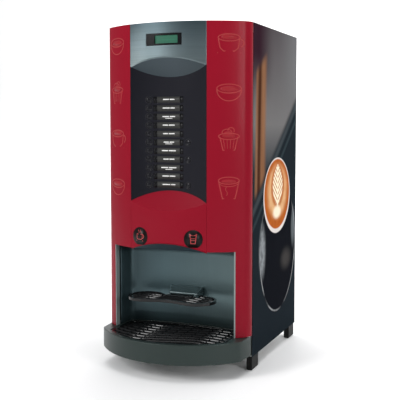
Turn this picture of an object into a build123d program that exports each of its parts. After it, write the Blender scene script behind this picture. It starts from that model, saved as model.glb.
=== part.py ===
from build123d import *
import os
from math import atan2, cos, hypot, pi, radians, sin, sqrt, tan

# Table-top hot drinks vending machine, in millimetres.
# X is to the right, Y to the back, Z up. The machine is drawn with the door seam at Y = 0
# and the floor at Z = 0; save() then moves every piece so that the origin is the
# middle of the footprint.

# ---- driving dimensions -------------------------------------------------
HALF_WIDTH = 205.0        # cabinet half width
CABINET_DEPTH = 400.0     # door seam to back edge
FOOT_HEIGHT = 38.0
CABINET_HEIGHT = 865.0
BASE_Z = FOOT_HEIGHT
TOP_Z = BASE_Z + CABINET_HEIGHT
SHEET = 1.2               # cabinet sheet metal
SKIN = 3.0                # door mouldings

DOOR_BULGE = 96.0         # how far the door stands out at its middle
DOOR_CORNER = 41.0        # radius of the door's upright corners
DOOR_LOW_Z = BASE_Z + 57.5
SEAM_X = 107.5            # seams between the red columns and the centre column
NICHE_HALF = 174.0        # half width of the dispensing niche
NICHE_TOP_Z = BASE_Z + 281.0
SLANT = radians(48.0)     # slope of the facets above and below the selection panel
PANEL_TOP_Z = BASE_Z + 756.0
PANEL_LOW_Z = BASE_Z + 406.0
PANEL_SAG = 25.0          # depth of the concave selection panel
SEAM_GAP = 0.4            # gap between neighbouring door mouldings

TRAY_LOW_Z = BASE_Z + 5.0
TRAY_TOP_Z = BASE_Z + 57.0
TRAY_REACH = 168.0        # front of the drip tray, ahead of the door seam
LINER_BACK_Y = 54.0
LINER_HALF = 170.0

BUTTON_ROWS = 11
ROW_PITCH = 22.15
ROW_TOP_Z = BASE_Z + 670.1
BUTTON_R = 8.0
LEFT_BUTTON_X = -61.5
RIGHT_BUTTON_X = 48.5
RIGHT_BUTTON_ROWS = (6, 8, 11)

HINGE_X, HINGE_Y = 196.0, -12.0
PIN_R = 3.0
RUNNING = 0.05            # radial clearance of a pin in its bore
LOCK_Y, LOCK_Z = -15.0, BASE_Z + 500.0

CANISTER_X = (-122.0, 0.0, 122.0)
BOWL_X = (-75.0, 75.0)
SHELF_Z = BASE_Z + 520.0  # canister shelf
AUGER_Z = SHELF_Z + 24.0   # the canisters' round troughs stand on the shelf

Y_SHIFT = (CABINET_DEPTH - TRAY_REACH) / 2

os.makedirs("parts", exist_ok=True)
pieces = {}


# ---- helpers -------------------------------------------------------------
def save(name, shape):
    """Write one node, moved so that the footprint's middle is the origin."""
    solids = shape.solids() if hasattr(shape, "solids") else [shape]
    body = solids[0] if len(solids) == 1 else Compound(children=list(solids))
    pieces[name] = body.moved(Location((0, -Y_SHIFT, 0)))
    export_step(pieces[name], f"parts/{name}.step")


def block(x, y, z):
    """A box from its low and high corners, each given as a pair."""
    size = (x[1] - x[0], y[1] - y[0], z[1] - z[0])
    middle = ((x[0] + x[1]) / 2, (y[0] + y[1]) / 2, (z[0] + z[1]) / 2)
    return Pos(*middle) * Box(*size)


def rod(start, end, radius):
    """A round bar between two points."""
    a, b = Vector(*start), Vector(*end)
    return Plane(origin=(a + b) * 0.5, z_dir=b - a) * Cylinder(radius, (b - a).length)


def group(shapes):
    """Several separate solids in one node."""
    return Compound(children=[s for shape in shapes for s in shape.solids()])


def arch_centre(bulge, half, corner):
    """Distance of the door arch's centre behind the seam, and its radius."""
    back = ((half - corner) ** 2 - (bulge - corner) ** 2) / (2 * (bulge - corner))
    return back, bulge + back


def door_front(x, inset=0.0):
    """Y of the door's face at x, or of a face that lies inset behind it."""
    back, radius = arch_centre(DOOR_BULGE, HALF_WIDTH, DOOR_CORNER)
    side = HALF_WIDTH - DOOR_CORNER
    tangent_x = (radius - inset) * side / hypot(side, back)
    if abs(x) <= tangent_x:
        return back - sqrt((radius - inset) ** 2 - x**2)
    return -sqrt(max((DOOR_CORNER - inset) ** 2 - (abs(x) - side) ** 2, 0.0))


def door_plan(inset=0.0, back_y=0.0):
    """The door's outline in plan: one wide arch between two round corners."""
    back, radius = arch_centre(DOOR_BULGE, HALF_WIDTH, DOOR_CORNER)
    side = HALF_WIDTH - DOOR_CORNER
    wide, corner = radius - inset, DOOR_CORNER - inset
    edge = HALF_WIDTH - inset
    angle = atan2(side, back)
    join_x, join_y = wide * sin(angle), back - wide * cos(angle)
    half = (pi / 2 + angle) / 2
    mid_x, mid_y = side + corner * sin(half), -corner * cos(half)
    left_arc = ThreePointArc((-edge, 0), (-mid_x, mid_y), (-join_x, join_y))
    front_arc = ThreePointArc((-join_x, join_y), (0, back - wide), (join_x, join_y))
    right_arc = ThreePointArc((join_x, join_y), (mid_x, mid_y), (edge, 0))
    sides = Polyline((edge, 0), (edge, back_y), (-edge, back_y), (-edge, 0)) if back_y else None
    closing = sides if sides else Line((edge, 0), (-edge, 0))
    return make_face([left_arc, front_arc, right_arc, closing])


def upright(face, low_z, high_z):
    """A plan face raised between two heights."""
    return Pos(0, 0, low_z) * extrude(face, high_z - low_z)


def door_solid(inset, low_z, high_z):
    return upright(door_plan(inset), low_z, high_z)


def door_shell(thickness, low_z, high_z, inset=0.0):
    """The door's curved skin alone, open to the back."""
    return door_solid(inset, low_z, high_z) - door_solid(inset + thickness, low_z - 1, high_z + 1)


def above_slant(edge_z, edge_y, depth=400.0, rise=1):
    """Everything above a facet plane that passes through (edge_y, edge_z).
    rise 1 climbs towards the front, rise -1 falls towards the front."""
    slope = tan(SLANT) * rise
    near, far = -depth, depth
    with BuildPart() as half_space:
        with BuildSketch(Plane.YZ.offset(-HALF_WIDTH - 5)):
            with BuildLine():
                Polyline(
                    (near, edge_z - (near - edge_y) * slope),
                    (far, edge_z - (far - edge_y) * slope),
                    (far, edge_z + 3000),
                    (near, edge_z + 3000),
                    close=True,
                )
            make_face()
        extrude(amount=2 * HALF_WIDTH + 10)
    return half_space.part


SEAM_Y = door_front(SEAM_X)
PANEL_RADIUS = (SEAM_X**2 + PANEL_SAG**2) / (2 * PANEL_SAG)
PANEL_CENTRE_Y = SEAM_Y + PANEL_SAG - PANEL_RADIUS


def panel_front(x):
    """Y of the concave selection panel's face at x."""
    return PANEL_CENTRE_Y + sqrt(PANEL_RADIUS**2 - x**2)


def column(inner_x, low_z, high_z, side=1):
    """Everything between the seam at inner_x and the door's side edge."""
    x = (inner_x, HALF_WIDTH + 1) if side > 0 else (-HALF_WIDTH - 1, -inner_x)
    return block(x, (-DOOR_BULGE - 1, 1), (low_z, high_z))


def button_places():
    """Name, x and z of every selection button."""
    places = []
    for row in range(BUTTON_ROWS):
        places.append((f"left_button_{row + 1:02d}", LEFT_BUTTON_X, ROW_TOP_Z - row * ROW_PITCH))
    for row in RIGHT_BUTTON_ROWS:
        places.append((f"right_button_{row:02d}", RIGHT_BUTTON_X, ROW_TOP_Z - (row - 1) * ROW_PITCH))
    return places


def button_bar(x, z, front_y, back_y, grow=0.0):
    """A button's round bar, running from front to back."""
    return rod((x, front_y, z), (x, back_y, z), BUTTON_R + grow)


# ---- door -----------------------------------------------------------------
DOOR_BACK_Y = -2.5
FRAME_WALL = 2.5
NOTCH = block((184, 206), (-26, 1), (0, 2000)) - block((0, 300), (-90, 2), (DOOR_LOW_Z + 4, TOP_Z - 4))
IN_FRONT = block((-206, 206), (-100, DOOR_BACK_Y), (0, 1000))
CENTRE = block((-SEAM_X + SEAM_GAP, SEAM_X - SEAM_GAP), (-100, 0), (0, 1000))
UPPER_EDGE = above_slant(PANEL_TOP_Z, SEAM_Y)
LOWER_EDGE = above_slant(PANEL_LOW_Z, SEAM_Y, rise=-1)
HOOD_EDGE = above_slant(NICHE_TOP_Z, SEAM_Y)
SLAB_RISE = 3.0 / cos(SLANT)
LOCK_R = 8.0
LOCK_HOLE = rod((-210, LOCK_Y, LOCK_Z), (-180, LOCK_Y, LOCK_Z), LOCK_R + 0.4)
NICHE_CUT = block((-NICHE_HALF, NICHE_HALF), (-100, 5), (0, NICHE_TOP_Z))


def column_cover(side):
    """A red side moulding of the door, from the seam round to the cabinet side."""
    skin = door_shell(SKIN, DOOR_LOW_Z, TOP_Z) & column(SEAM_X, 0, 1000, side) & IN_FRONT
    return skin - NICHE_CUT - NOTCH


def panel_ring(low_radius, high_radius):
    """The concave panel's thickness, as a slice of a tall ring about its centre."""
    tall = TOP_Z - BASE_Z
    place = Pos(0, PANEL_CENTRE_Y, BASE_Z + tall / 2)
    ring = place * Cylinder(high_radius, tall) - place * Cylinder(low_radius, tall + 2)
    return ring & block((-SEAM_X, SEAM_X), (SEAM_Y, 0), (0, 1000))


AHEAD_OF_PANEL = Pos(0, PANEL_CENTRE_Y, 500) * Cylinder(PANEL_RADIUS, 1000)


def display_fascia():
    """Brushed steel cover above the selection panel, with the display's window."""
    skin = (door_shell(SKIN, DOOR_LOW_Z, TOP_Z) & CENTRE) & UPPER_EDGE
    return skin - DISPLAY_HOLE


DISPLAY_X = (-54.0, 46.0)
DISPLAY_Z = (BASE_Z + 806.0, BASE_Z + 836.0)
DISPLAY_HOLE = block(DISPLAY_X, (-100, -40), DISPLAY_Z)


def display_module():
    """Framed character display that fills the fascia's window."""
    gap = 0.3
    x = (DISPLAY_X[0] + gap, DISPLAY_X[1] - gap)
    z = (DISPLAY_Z[0] + gap, DISPLAY_Z[1] - gap)
    face = door_solid(0.8, z[0], z[1]) & block(x, (-100, -84), z)
    window = block((-29, 35), (-100, -88.5), (z[0] + 4.5, z[1] - 4.5))
    return face - window


def upper_lens():
    """Sloping facet that lights the selection panel from above."""
    slab = UPPER_EDGE - Pos(0, 0, SLAB_RISE) * UPPER_EDGE
    return door_solid(SKIN, BASE_Z + 600, TOP_Z - 10) & CENTRE & slab & AHEAD_OF_PANEL


def centre_panel():
    """Red cover between the selection panel and the niche, with its sloping sill."""
    below = block((-SEAM_X, SEAM_X), (-100, 0), (0, 1000)) - LOWER_EDGE
    skin = door_shell(SKIN, DOOR_LOW_Z, TOP_Z) & CENTRE & HOOD_EDGE & below
    sill = below - Pos(0, 0, -SLAB_RISE) * below
    sill = door_solid(SKIN / 2, BASE_Z + 200, BASE_Z + 600) & CENTRE & sill & AHEAD_OF_PANEL
    return skin + sill


def selection_panel():
    """Concave glossy panel with a through hole for each button."""
    ring = panel_ring(PANEL_RADIUS, PANEL_RADIUS + SKIN)
    panel = (ring & CENTRE & LOWER_EDGE) - UPPER_EDGE
    for _, x, z in button_places():
        panel -= button_bar(x, z, -90, -40, grow=0.4)
    return panel


def niche_hood():
    """Sloping hood over the niche and the flat return behind it."""
    slab = HOOD_EDGE - Pos(0, 0, SLAB_RISE) * HOOD_EDGE
    slab = door_solid(SKIN, BASE_Z + 200, BASE_Z + 400) & CENTRE & slab
    slab = slab & block((-200, 200), (-100, SEAM_Y), (0, 1000))
    wide = LINER_HALF
    level = (NICHE_TOP_Z, NICHE_TOP_Z + SKIN)
    roof = door_solid(SKIN, *level) & block((-wide, wide), (SEAM_Y, -26), level)
    return slab + roof


def hinge_block(low_z):
    """A bored corner block that turns on a hinge pin."""
    solid = door_solid(SKIN + FRAME_WALL / 2, low_z, low_z + 14) & block((184, 204), (-24, -4), (0, 1000))
    return solid - rod((HINGE_X, HINGE_Y, low_z - 1), (HINGE_X, HINGE_Y, low_z + 15), PIN_R + RUNNING)


def door_frame():
    """Inner frame that carries every cover, with the niche's pale edge strips."""
    walls = door_shell(FRAME_WALL, DOOR_LOW_Z, TOP_Z, inset=SKIN) & IN_FRONT
    window = block((-SEAM_X - 3, SEAM_X + 3), (-100, 0), (PANEL_LOW_Z - 40, PANEL_TOP_Z + 40))
    frame = walls - window - DISPLAY_HOLE
    lid = door_solid(SKIN, TOP_Z - 3, TOP_Z) & IN_FRONT
    floor = door_solid(SKIN, DOOR_LOW_Z, DOOR_LOW_Z + 3) & IN_FRONT
    rail_z = (NICHE_TOP_Z + SKIN, NICHE_TOP_Z + 2 * SKIN)
    rail = door_solid(SKIN + FRAME_WALL / 2, *rail_z) & block((-200, 200), (SEAM_Y + 2, -20), rail_z)
    frame = frame + lid + floor + rail
    hood_room = block((-SEAM_X, SEAM_X), (-100, 0), (0, 1000)) - Pos(0, 0, SLAB_RISE) * HOOD_EDGE
    frame = frame - NICHE_CUT - (hood_room & block((-200, 200), (-100, SEAM_Y), (0, 1000)))
    frame = frame - block((-LINER_HALF, LINER_HALF), (-100, 0), (0, NICHE_TOP_Z + SKIN))
    strip_z = (DOOR_LOW_Z, NICHE_TOP_Z)
    for x in ((-NICHE_HALF - 1, -NICHE_HALF + 3.5), (NICHE_HALF - 3.5, NICHE_HALF + 1)):
        strip = door_solid(SKIN, *strip_z) & block(x, (-100, -26), strip_z)
        lip_x = (max(x[0], -NICHE_HALF), min(x[1], NICHE_HALF))
        frame = frame + strip + (door_solid(0.5, *strip_z) & block(lip_x, (-100, -26), strip_z))
    frame = frame - NOTCH
    for low_z in (DOOR_LOW_Z + 4.5, TOP_Z - 18.5):
        frame = frame + hinge_block(low_z)
    frame = frame - LOCK_HOLE
    for low_z in (DOOR_LOW_Z, TOP_Z - 18.5):
        bore = rod((HINGE_X, HINGE_Y, low_z - 1), (HINGE_X, HINGE_Y, low_z + 19), PIN_R + RUNNING)
        frame = frame - bore
    return frame


def door_lock():
    """Flush cylinder lock with a hooked claw on its inner end."""
    face_x, claw_x = -HALF_WIDTH + 0.6, -188.0
    barrel = rod((face_x, LOCK_Y, LOCK_Z), (claw_x, LOCK_Y, LOCK_Z), LOCK_R)
    barrel &= door_solid(0.2, LOCK_Z - 20, LOCK_Z + 20)
    barrel -= block((-206, face_x + 5), (LOCK_Y - 0.8, LOCK_Y + 0.8), (LOCK_Z - 4, LOCK_Z + 4))
    hub = rod((claw_x, LOCK_Y, LOCK_Z), (claw_x + 2, LOCK_Y, LOCK_Z), 9)
    place = Plane(origin=(claw_x, LOCK_Y, LOCK_Z), x_dir=(0, 1, 0), z_dir=(1, 0, 0))
    claw = extrude(place * (Circle(27) - Circle(23)), 2)
    claw &= block((-200, -180), (LOCK_Y - 4, LOCK_Y + 17), (LOCK_Z + 15, LOCK_Z + 30))
    arm = block((claw_x, claw_x + 2), (LOCK_Y - 4, LOCK_Y + 4), (LOCK_Z, LOCK_Z + 25))
    return barrel + hub + arm + claw


def make_door():
    save("door_frame", door_frame())
    save("left_column_cover", column_cover(-1) - LOCK_HOLE)
    save("right_column_cover", column_cover(1))
    save("display_fascia", display_fascia())
    save("display_module", display_module())
    save("upper_lens", upper_lens())
    save("selection_panel", selection_panel())
    save("centre_panel", centre_panel())
    save("niche_hood", niche_hood())
    save("door_lock", door_lock())
    save("label_strips", label_strips())
    save("niche_badges", niche_badges())
    save("control_board", control_board())
    for name, x, z in button_places():
        save(name, selection_button(x, z))


def selection_button(x, z):
    """A push button that follows the panel's hollow, with a flange behind it."""
    bar = button_bar(x, z, -90, -40)
    proud = Pos(0, PANEL_CENTRE_Y, 500) * (Cylinder(PANEL_RADIUS + 6, 1000) - Cylinder(PANEL_RADIUS - 1.2, 1000))
    stem = bar & proud
    flange = button_bar(x, z, -90, -40, grow=1.5)
    behind = Cylinder(PANEL_RADIUS + 6, 1000) - Cylinder(PANEL_RADIUS + SKIN + 0.4, 1000)
    return stem + (flange & (Pos(0, PANEL_CENTRE_Y, 500) * behind))


BADGES = ((-76.0, BASE_Z + 314.0), (75.0, BASE_Z + 314.0))
BADGE_R = 24.0
LABEL_X = (-40.6, 24.0)
LABEL_HALF_HEIGHT = 7.8


def label_strips():
    """Eleven thin label strips on the selection panel."""
    strips = []
    ring = panel_ring(PANEL_RADIUS - 0.5, PANEL_RADIUS)
    for row in range(BUTTON_ROWS):
        z = ROW_TOP_Z - row * ROW_PITCH
        strips.append(ring & block(LABEL_X, (-90, -40), (z - LABEL_HALF_HEIGHT, z + LABEL_HALF_HEIGHT)))
    return group(strips)


def niche_badges():
    """Two thin round badges above the niche, cut off level with the hood's edge."""
    skin = door_shell(0.6, BASE_Z + 280, BASE_Z + 350, inset=-0.6)
    return group([skin & rod((x, -110, z), (x, -60, z), BADGE_R) & HOOD_EDGE for x, z in BADGES])


BOARD_Y = -38.0


def control_board():
    """Control board behind the selection panel, on four posts."""
    low_z, high_z = BASE_Z + 440, BASE_Z + 740
    board = block((-92, 92), (BOARD_Y, BOARD_Y + 1.6), (low_z, high_z))
    chips = [(-60, 640, 30, 22), (20, 655, 40, 26), (-20, 560, 24, 24), (45, 520, 30, 18), (-62, 500, 22, 34)]
    for x, z, wide, high in chips:
        chip = block((x, x + wide), (BOARD_Y + 1.6, BOARD_Y + 9), (BASE_Z + z, BASE_Z + z + high))
        board += chip
    for x in (-86, 86):
        for z in (low_z + 8, high_z - 8):
            board += rod((x, panel_front(x) + SKIN + 1.4, z), (x, BOARD_Y, z), 3)
    return board


# ---- cabinet ----------------------------------------------------------------
FRONT_Y = 1.0             # front edge of the side panels
FRAME_Y = 3.0             # front face of the cabinet's front frame
REAR_Y = 384.0            # outer face of the recessed rear panel
INSIDE_X = HALF_WIDTH - SHEET
MIXER_PLATE_Y = 120.0
MOTOR_PLATE_Y = 232.0
FOOT_Y = (30.0, 370.0)


def side_panel(side):
    """Sheet metal side with a flange turned in along its rear edge."""
    outer, inner = side * HALF_WIDTH, side * INSIDE_X
    x = (min(outer, inner), max(outer, inner))
    z = (BASE_Z, TOP_Z - SHEET - 0.1)
    sheet = block(x, (FRONT_Y, CABINET_DEPTH), z)
    lip_x = (min(outer, side * (HALF_WIDTH - 12)), max(outer, side * (HALF_WIDTH - 12)))
    return sheet + block(lip_x, (CABINET_DEPTH - SHEET, CABINET_DEPTH), z)


def top_cover():
    """Flat lid with edges turned down inside the side panels."""
    lid = block((-HALF_WIDTH, HALF_WIDTH), (FRONT_Y, CABINET_DEPTH), (TOP_Z - SHEET, TOP_Z))
    edge_z = (TOP_Z - 20, TOP_Z - SHEET)
    for side in (-1, 1):
        x = sorted((side * (INSIDE_X - 0.1), side * (INSIDE_X - 0.1 - SHEET)))
        lid += block(x, (10, REAR_Y - 2), edge_z)
    return lid


def base_pan():
    """Floor of the cabinet, with a tongue and runners that carry the drip tray."""
    pan = block((-INSIDE_X + 0.1, INSIDE_X - 0.1), (FRAME_Y + 2, REAR_Y), (BASE_Z, BASE_Z + 1.5))
    pan += block((-160, 160), (-70, FRAME_Y + 2), (BASE_Z, BASE_Z + 1.5))
    for x in (-150, 150):
        pan += block((x - 4, x + 4), (-70, 58), (BASE_Z, TRAY_LOW_Z - 0.3))
    return pan


def feet():
    """Four block feet with chamfered toes."""
    shapes = []
    for side in (-1, 1):
        for y in FOOT_Y:
            x = sorted((side * 187.5, side * 203.0))
            foot = block(x, (y - 25, y + 25), (0, FOOT_HEIGHT))
            foot = chamfer(foot.faces().sort_by(Axis.Z)[0].edges(), 2.5)
            shapes.append(foot)
    return group(shapes)


def front_frame():
    """Sheet frame round the cabinet's mouth, slotted for the lock's claw."""
    y = (FRAME_Y, FRAME_Y + 1.5)
    outer = block((-INSIDE_X + 0.1, INSIDE_X - 0.1), y, (BASE_Z + 60, TOP_Z - SHEET - 0.1))
    mouth = block((-184, 184), (0, 10), (BASE_Z, TOP_Z - 24))
    slot = block((-190, -185), (0, 10), (LOCK_Z + 8, LOCK_Z + 24))
    return outer - mouth - slot


BRACKET_X = (188.5, 203.5)


def hinge_brackets():
    """Upper and lower brackets, each with a pin that the door turns on."""
    shapes = []
    for plate_z, pin_z in (
        ((DOOR_LOW_Z, DOOR_LOW_Z + 3.5), (DOOR_LOW_Z + 3.5, DOOR_LOW_Z + 16)),
        ((TOP_Z - 3.5, TOP_Z), (TOP_Z - 16, TOP_Z - 3.5)),
    ):
        plate = block(BRACKET_X, (-21, FRAME_Y), plate_z) & door_solid(0.5, *plate_z)
        plate += block(BRACKET_X, (-1, FRAME_Y), (plate_z[0], plate_z[1] - SHEET - 0.1))
        leg_z = (plate_z[0], plate_z[1] + 22) if plate_z[0] < BASE_Z + 200 else (plate_z[0] - 22, plate_z[1] - 1.3)
        leg = block(BRACKET_X, (FRAME_Y - 1.4, FRAME_Y), leg_z)
        pin = rod((HINGE_X, HINGE_Y, pin_z[0]), (HINGE_X, HINGE_Y, pin_z[1]), PIN_R)
        shapes.append(plate + leg + pin)
    return group(shapes)


VENT_Z = [BASE_Z + 640 + 14 * i for i in range(9)]
WATER_X, WATER_Z = 120.0, BASE_Z + 80.0
POWER_X, POWER_Z = -130.0, BASE_Z + 80.0
THREAD_R = 13.2


def rear_panel():
    """Recessed back with vent slots, the water inlet hole and the power inlet hole."""
    y = (REAR_Y - SHEET, REAR_Y)
    panel = block((-INSIDE_X + 0.1, INSIDE_X - 0.1), y, (BASE_Z + 1.6, TOP_Z - SHEET - 0.1))
    for x in (-90, 90):
        for z in VENT_Z:
            plane = Plane(origin=(x, REAR_Y + 1, z), x_dir=(1, 0, 0), z_dir=(0, -1, 0))
            panel -= extrude(plane * SlotOverall(110, 5), 4)
    panel -= rod((WATER_X, REAR_Y - 5, WATER_Z), (WATER_X, REAR_Y + 5, WATER_Z), THREAD_R + 0.5)
    panel -= block((POWER_X - 14.2, POWER_X + 14.2), (380, 390), (POWER_Z - 10.2, POWER_Z + 10.2))
    return panel


def liner_plan(inset):
    """The niche liner's plan: straight sides, round corners and a gently curved back."""
    x, corner, back = LINER_HALF - 1.5 - inset, 20.0, LINER_BACK_Y + 1.5 - inset
    side_y = back - 36
    edges = [
        Line((-x, -24), (-x, side_y)),
        ThreePointArc((-x, side_y), (-x + 5.5, side_y + 13.5), (-x + corner, side_y + 20)),
        ThreePointArc((-x + corner, side_y + 20), (0, back), (x - corner, side_y + 20)),
        ThreePointArc((x - corner, side_y + 20), (x - 5.5, side_y + 13.5), (x, side_y)),
        Line((x, side_y), (x, -24)),
        Line((x, -24), (-x, -24)),
    ]
    return make_face(edges)


SPOUT_X = (-45.0, 0.0, 45.0)
SPOUT_Y = 5.0
SPOUT_LENGTH = 13.0


def niche_liner():
    """Dispensing niche: curved wall and a flat ceiling with three spout holes."""
    low_z, high_z = TRAY_TOP_Z + 1, NICHE_TOP_Z
    wall = upright(liner_plan(0), low_z, high_z) - upright(liner_plan(1.5), low_z - 1, high_z - 1.5)
    wall -= block((-LINER_HALF + 3, LINER_HALF - 3), (-30, -22), (low_z - 1, high_z - 1.5))
    for x in SPOUT_X:
        wall -= rod((x, SPOUT_Y, high_z - 5), (x, SPOUT_Y, high_z + 5), 8.5)
    return wall


def bulkhead():
    """Mixer plate, canister shelf and motor plate, folded from one sheet."""
    x = (-INSIDE_X + 0.2, INSIDE_X - 0.2)
    plate = block(x, (MIXER_PLATE_Y, MIXER_PLATE_Y + 2), (BASE_Z + 1.6, SHELF_Z + 1))
    plate += block(x, (72, MOTOR_PLATE_Y), (SHELF_Z, SHELF_Z + 2))
    plate += block(x, (MOTOR_PLATE_Y, MOTOR_PLATE_Y + 2), (SHELF_Z, TOP_Z - 30))
    for place in CANISTER_X:
        plate -= rod((place, MOTOR_PLATE_Y - 5, AUGER_Z), (place, MOTOR_PLATE_Y + 5, AUGER_Z), 6)
    for place in BOWL_X:
        plate -= rod((place, MIXER_PLATE_Y - 5, WHIPPER_Z), (place, MIXER_PLATE_Y + 5, WHIPPER_Z), 6)
    return plate


# ---- dispensing side ----------------------------------------------------------
WHIPPER_Z = BASE_Z + 345.0
WHIPPER_Y = 95.0
BOWL_Y = 70.0
SHAFT_R = 3.0


def canister(x):
    """Powder canister: open box, sloping throat, round trough and a sloping outlet."""
    def outline(inset):
        wide, throat = 55 - inset, 22 - inset
        top = 280 if inset else 270
        outline_edges = [
            Polyline((-throat, 0), (-wide, 75), (-wide, top), (wide, top), (wide, 75), (throat, 0)),
            ThreePointArc((throat, 0), (0, -throat), (-throat, 0)),
        ]
        return make_face(outline_edges)

    def raised(inset, low_y, high_y):
        plane = Plane(origin=(x, high_y, AUGER_Z), x_dir=(1, 0, 0), z_dir=(0, -1, 0))
        return extrude(plane * outline(inset), high_y - low_y)

    toward = 26 if x < 0 else -26
    drop = ((x, 36, AUGER_Z), (x + toward, 50, AUGER_Z - 68))
    body = raised(0, 45, 225) + rod((x, 22, AUGER_Z), (x, 46, AUGER_Z), 20) + rod(*drop, 14)
    hollow = raised(2.5, 47.5, 222.5) + rod((x, 24.5, AUGER_Z), (x, 50, AUGER_Z), 17.5)
    body -= hollow
    body -= rod(drop[0], (x + toward * 1.1, 51.6, AUGER_Z - 74.8), 11.5)
    return body - rod((x, 220, AUGER_Z), (x, 230, AUGER_Z), SHAFT_R + RUNNING)


def auger(x):
    """Twisted ribbon that moves powder forward, with its drive shaft."""
    ribbon = Solid.extrude_linear_with_rotation(
        Rectangle(30, 4).face(), center=(0, 0, 0), normal=(0, 0, 188), angle=1080
    )
    ribbon = Plane(origin=(x, 26, AUGER_Z), x_dir=(1, 0, 0), z_dir=(0, 1, 0)) * ribbon
    return ribbon + rod((x, 30, AUGER_Z), (x, 246, AUGER_Z), SHAFT_R)


def canister_lids():
    """A lid that sits over each canister's rim."""
    shapes = []
    low_z = AUGER_Z + 270
    for x in CANISTER_X:
        lid = block((x - 57.5, x + 57.5), (42.5, 227.5), (low_z - 8, low_z + 2.5))
        lid -= block((x - 55.3, x + 55.3), (44.7, 225.3), (low_z - 9, low_z))
        lid += block((x - 12, x + 12), (120, 150), (low_z + 2.5, low_z + 8))
        shapes.append(lid)
    return group(shapes)


def geared_motor(x, y, z, body_r, body_length):
    """A gearbox block with its motor can behind, bored for the driven shaft."""
    gearbox = block((x - 26, x + 26), (y, y + 24), (z - 26, z + 26))
    can = rod((x, y + 24, z), (x, y + 24 + body_length, z), body_r)
    return gearbox + can - rod((x, y - 1, z), (x, y + 16, z), SHAFT_R + RUNNING)


def mixing_bowl(x):
    """Funnel over a whipping chamber, with an outlet towards the spouts."""
    rim_z = BASE_Z + 440
    cone = Pos(x, BOWL_Y, (rim_z + WHIPPER_Z) / 2) * Cone(24, 46, rim_z - WHIPPER_Z)
    chamber = rod((x, 58, WHIPPER_Z), (x, MIXER_PLATE_Y - 0.3, WHIPPER_Z), 24)
    outlet = rod((x, 62, WHIPPER_Z - 8), (x, 44, WHIPPER_Z - 26), 7)
    hollow = Pos(x, BOWL_Y, (rim_z + WHIPPER_Z) / 2 + 1) * Cone(21.5, 43.8, rim_z - WHIPPER_Z + 2)
    hollow += rod((x, 61, WHIPPER_Z), (x, MIXER_PLATE_Y + 2, WHIPPER_Z), 21)
    hollow += rod((x, 64, WHIPPER_Z - 6), (x, 40, WHIPPER_Z - 30), 4.5)
    return cone + chamber + outlet - hollow


def whipper(x):
    """Impeller disc with six vanes on its drive shaft."""
    wheel = rod((x, WHIPPER_Y, WHIPPER_Z), (x, WHIPPER_Y + 3, WHIPPER_Z), 16)
    for turn in range(6):
        vane = block((2, 15), (WHIPPER_Y - 7, WHIPPER_Y + 1), (-1, 1))
        wheel += Pos(x, 0, WHIPPER_Z) * (Rot(0, 60 * turn, 0) * vane)
    return wheel + rod((x, WHIPPER_Y - 7, WHIPPER_Z), (x, 137, WHIPPER_Z), SHAFT_R)


def drink_hoses():
    """Hoses from the bowls to the outer spouts, and the hot water line to the middle one."""
    shapes = []
    top_z = NICHE_TOP_Z + 0.5
    for bowl_x, spout_x in ((BOWL_X[0], SPOUT_X[0]), (BOWL_X[1], SPOUT_X[2])):
        route = [(bowl_x, 41, WHIPPER_Z - 29), (bowl_x, 26, WHIPPER_Z - 41), (spout_x, SPOUT_Y, top_z + 15)]
        shapes.append(rod(route[0], route[1], 6) + rod(route[1], route[2], 6) + Pos(*route[1]) * Sphere(6)
                      + Pos(*route[2]) * Sphere(6) + rod(route[2], (spout_x, SPOUT_Y, top_z + 4), 6))
    corner = (SPOUT_X[1], SPOUT_Y, WHIPPER_Z - 8)
    water = rod((SPOUT_X[1], SPOUT_Y, top_z + 4), corner, 4) + Pos(*corner) * Sphere(4)
    shapes.append(water + rod(corner, (SPOUT_X[1], MIXER_PLATE_Y - 0.3, WHIPPER_Z - 8), 4))
    return group(shapes)


def spout_block():
    """Three spouts on one rail above the niche ceiling."""
    top_z = NICHE_TOP_Z + 0.2
    rail = block((-62, 62), (SPOUT_Y - 10, SPOUT_Y + 10), (top_z, top_z + 4))
    for x in SPOUT_X:
        rail += rod((x, SPOUT_Y, top_z - SPOUT_LENGTH), (x, SPOUT_Y, top_z + 1), 7.5)
    for x in SPOUT_X:
        rail -= rod((x, SPOUT_Y, top_z - 30), (x, SPOUT_Y, top_z + 10), 4.5)
    return rail


BOILER_X, BOILER_Y, BOILER_R = -95.0, 215.0, 58.0


def boiler():
    """Insulated boiler with a flanged lid and two ports."""
    low_z, high_z = BASE_Z + 40, BASE_Z + 300
    tank = rod((BOILER_X, BOILER_Y, low_z), (BOILER_X, BOILER_Y, high_z), BOILER_R)
    tank += rod((BOILER_X, BOILER_Y, high_z), (BOILER_X, BOILER_Y, high_z + 6), BOILER_R + 6)
    for x in (-24, 24):
        tank += rod((BOILER_X + x, BOILER_Y, high_z), (BOILER_X + x, BOILER_Y, high_z + 26), 6)
    for angle in (0, 120, 240):
        x = BOILER_X + 45 * cos(radians(angle))
        y = BOILER_Y + 45 * sin(radians(angle))
        tank += rod((x, y, BASE_Z + 1.5), (x, y, low_z + 1), 5)
    return tank


def water_valves():
    """Three solenoid valves on one brass rail."""
    z = BASE_Z + 360.0
    rail = block((-60, 130), (MIXER_PLATE_Y + 2, MIXER_PLATE_Y + 26), (z + 40, z + 62))
    for x in (-35, 30, 95):
        rail += rod((x, MIXER_PLATE_Y + 14, z + 62), (x, MIXER_PLATE_Y + 14, z + 74), 7)
        rail += block((x - 14, x + 14), (MIXER_PLATE_Y + 2, MIXER_PLATE_Y + 30), (z + 74, z + 112))
    return rail


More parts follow.
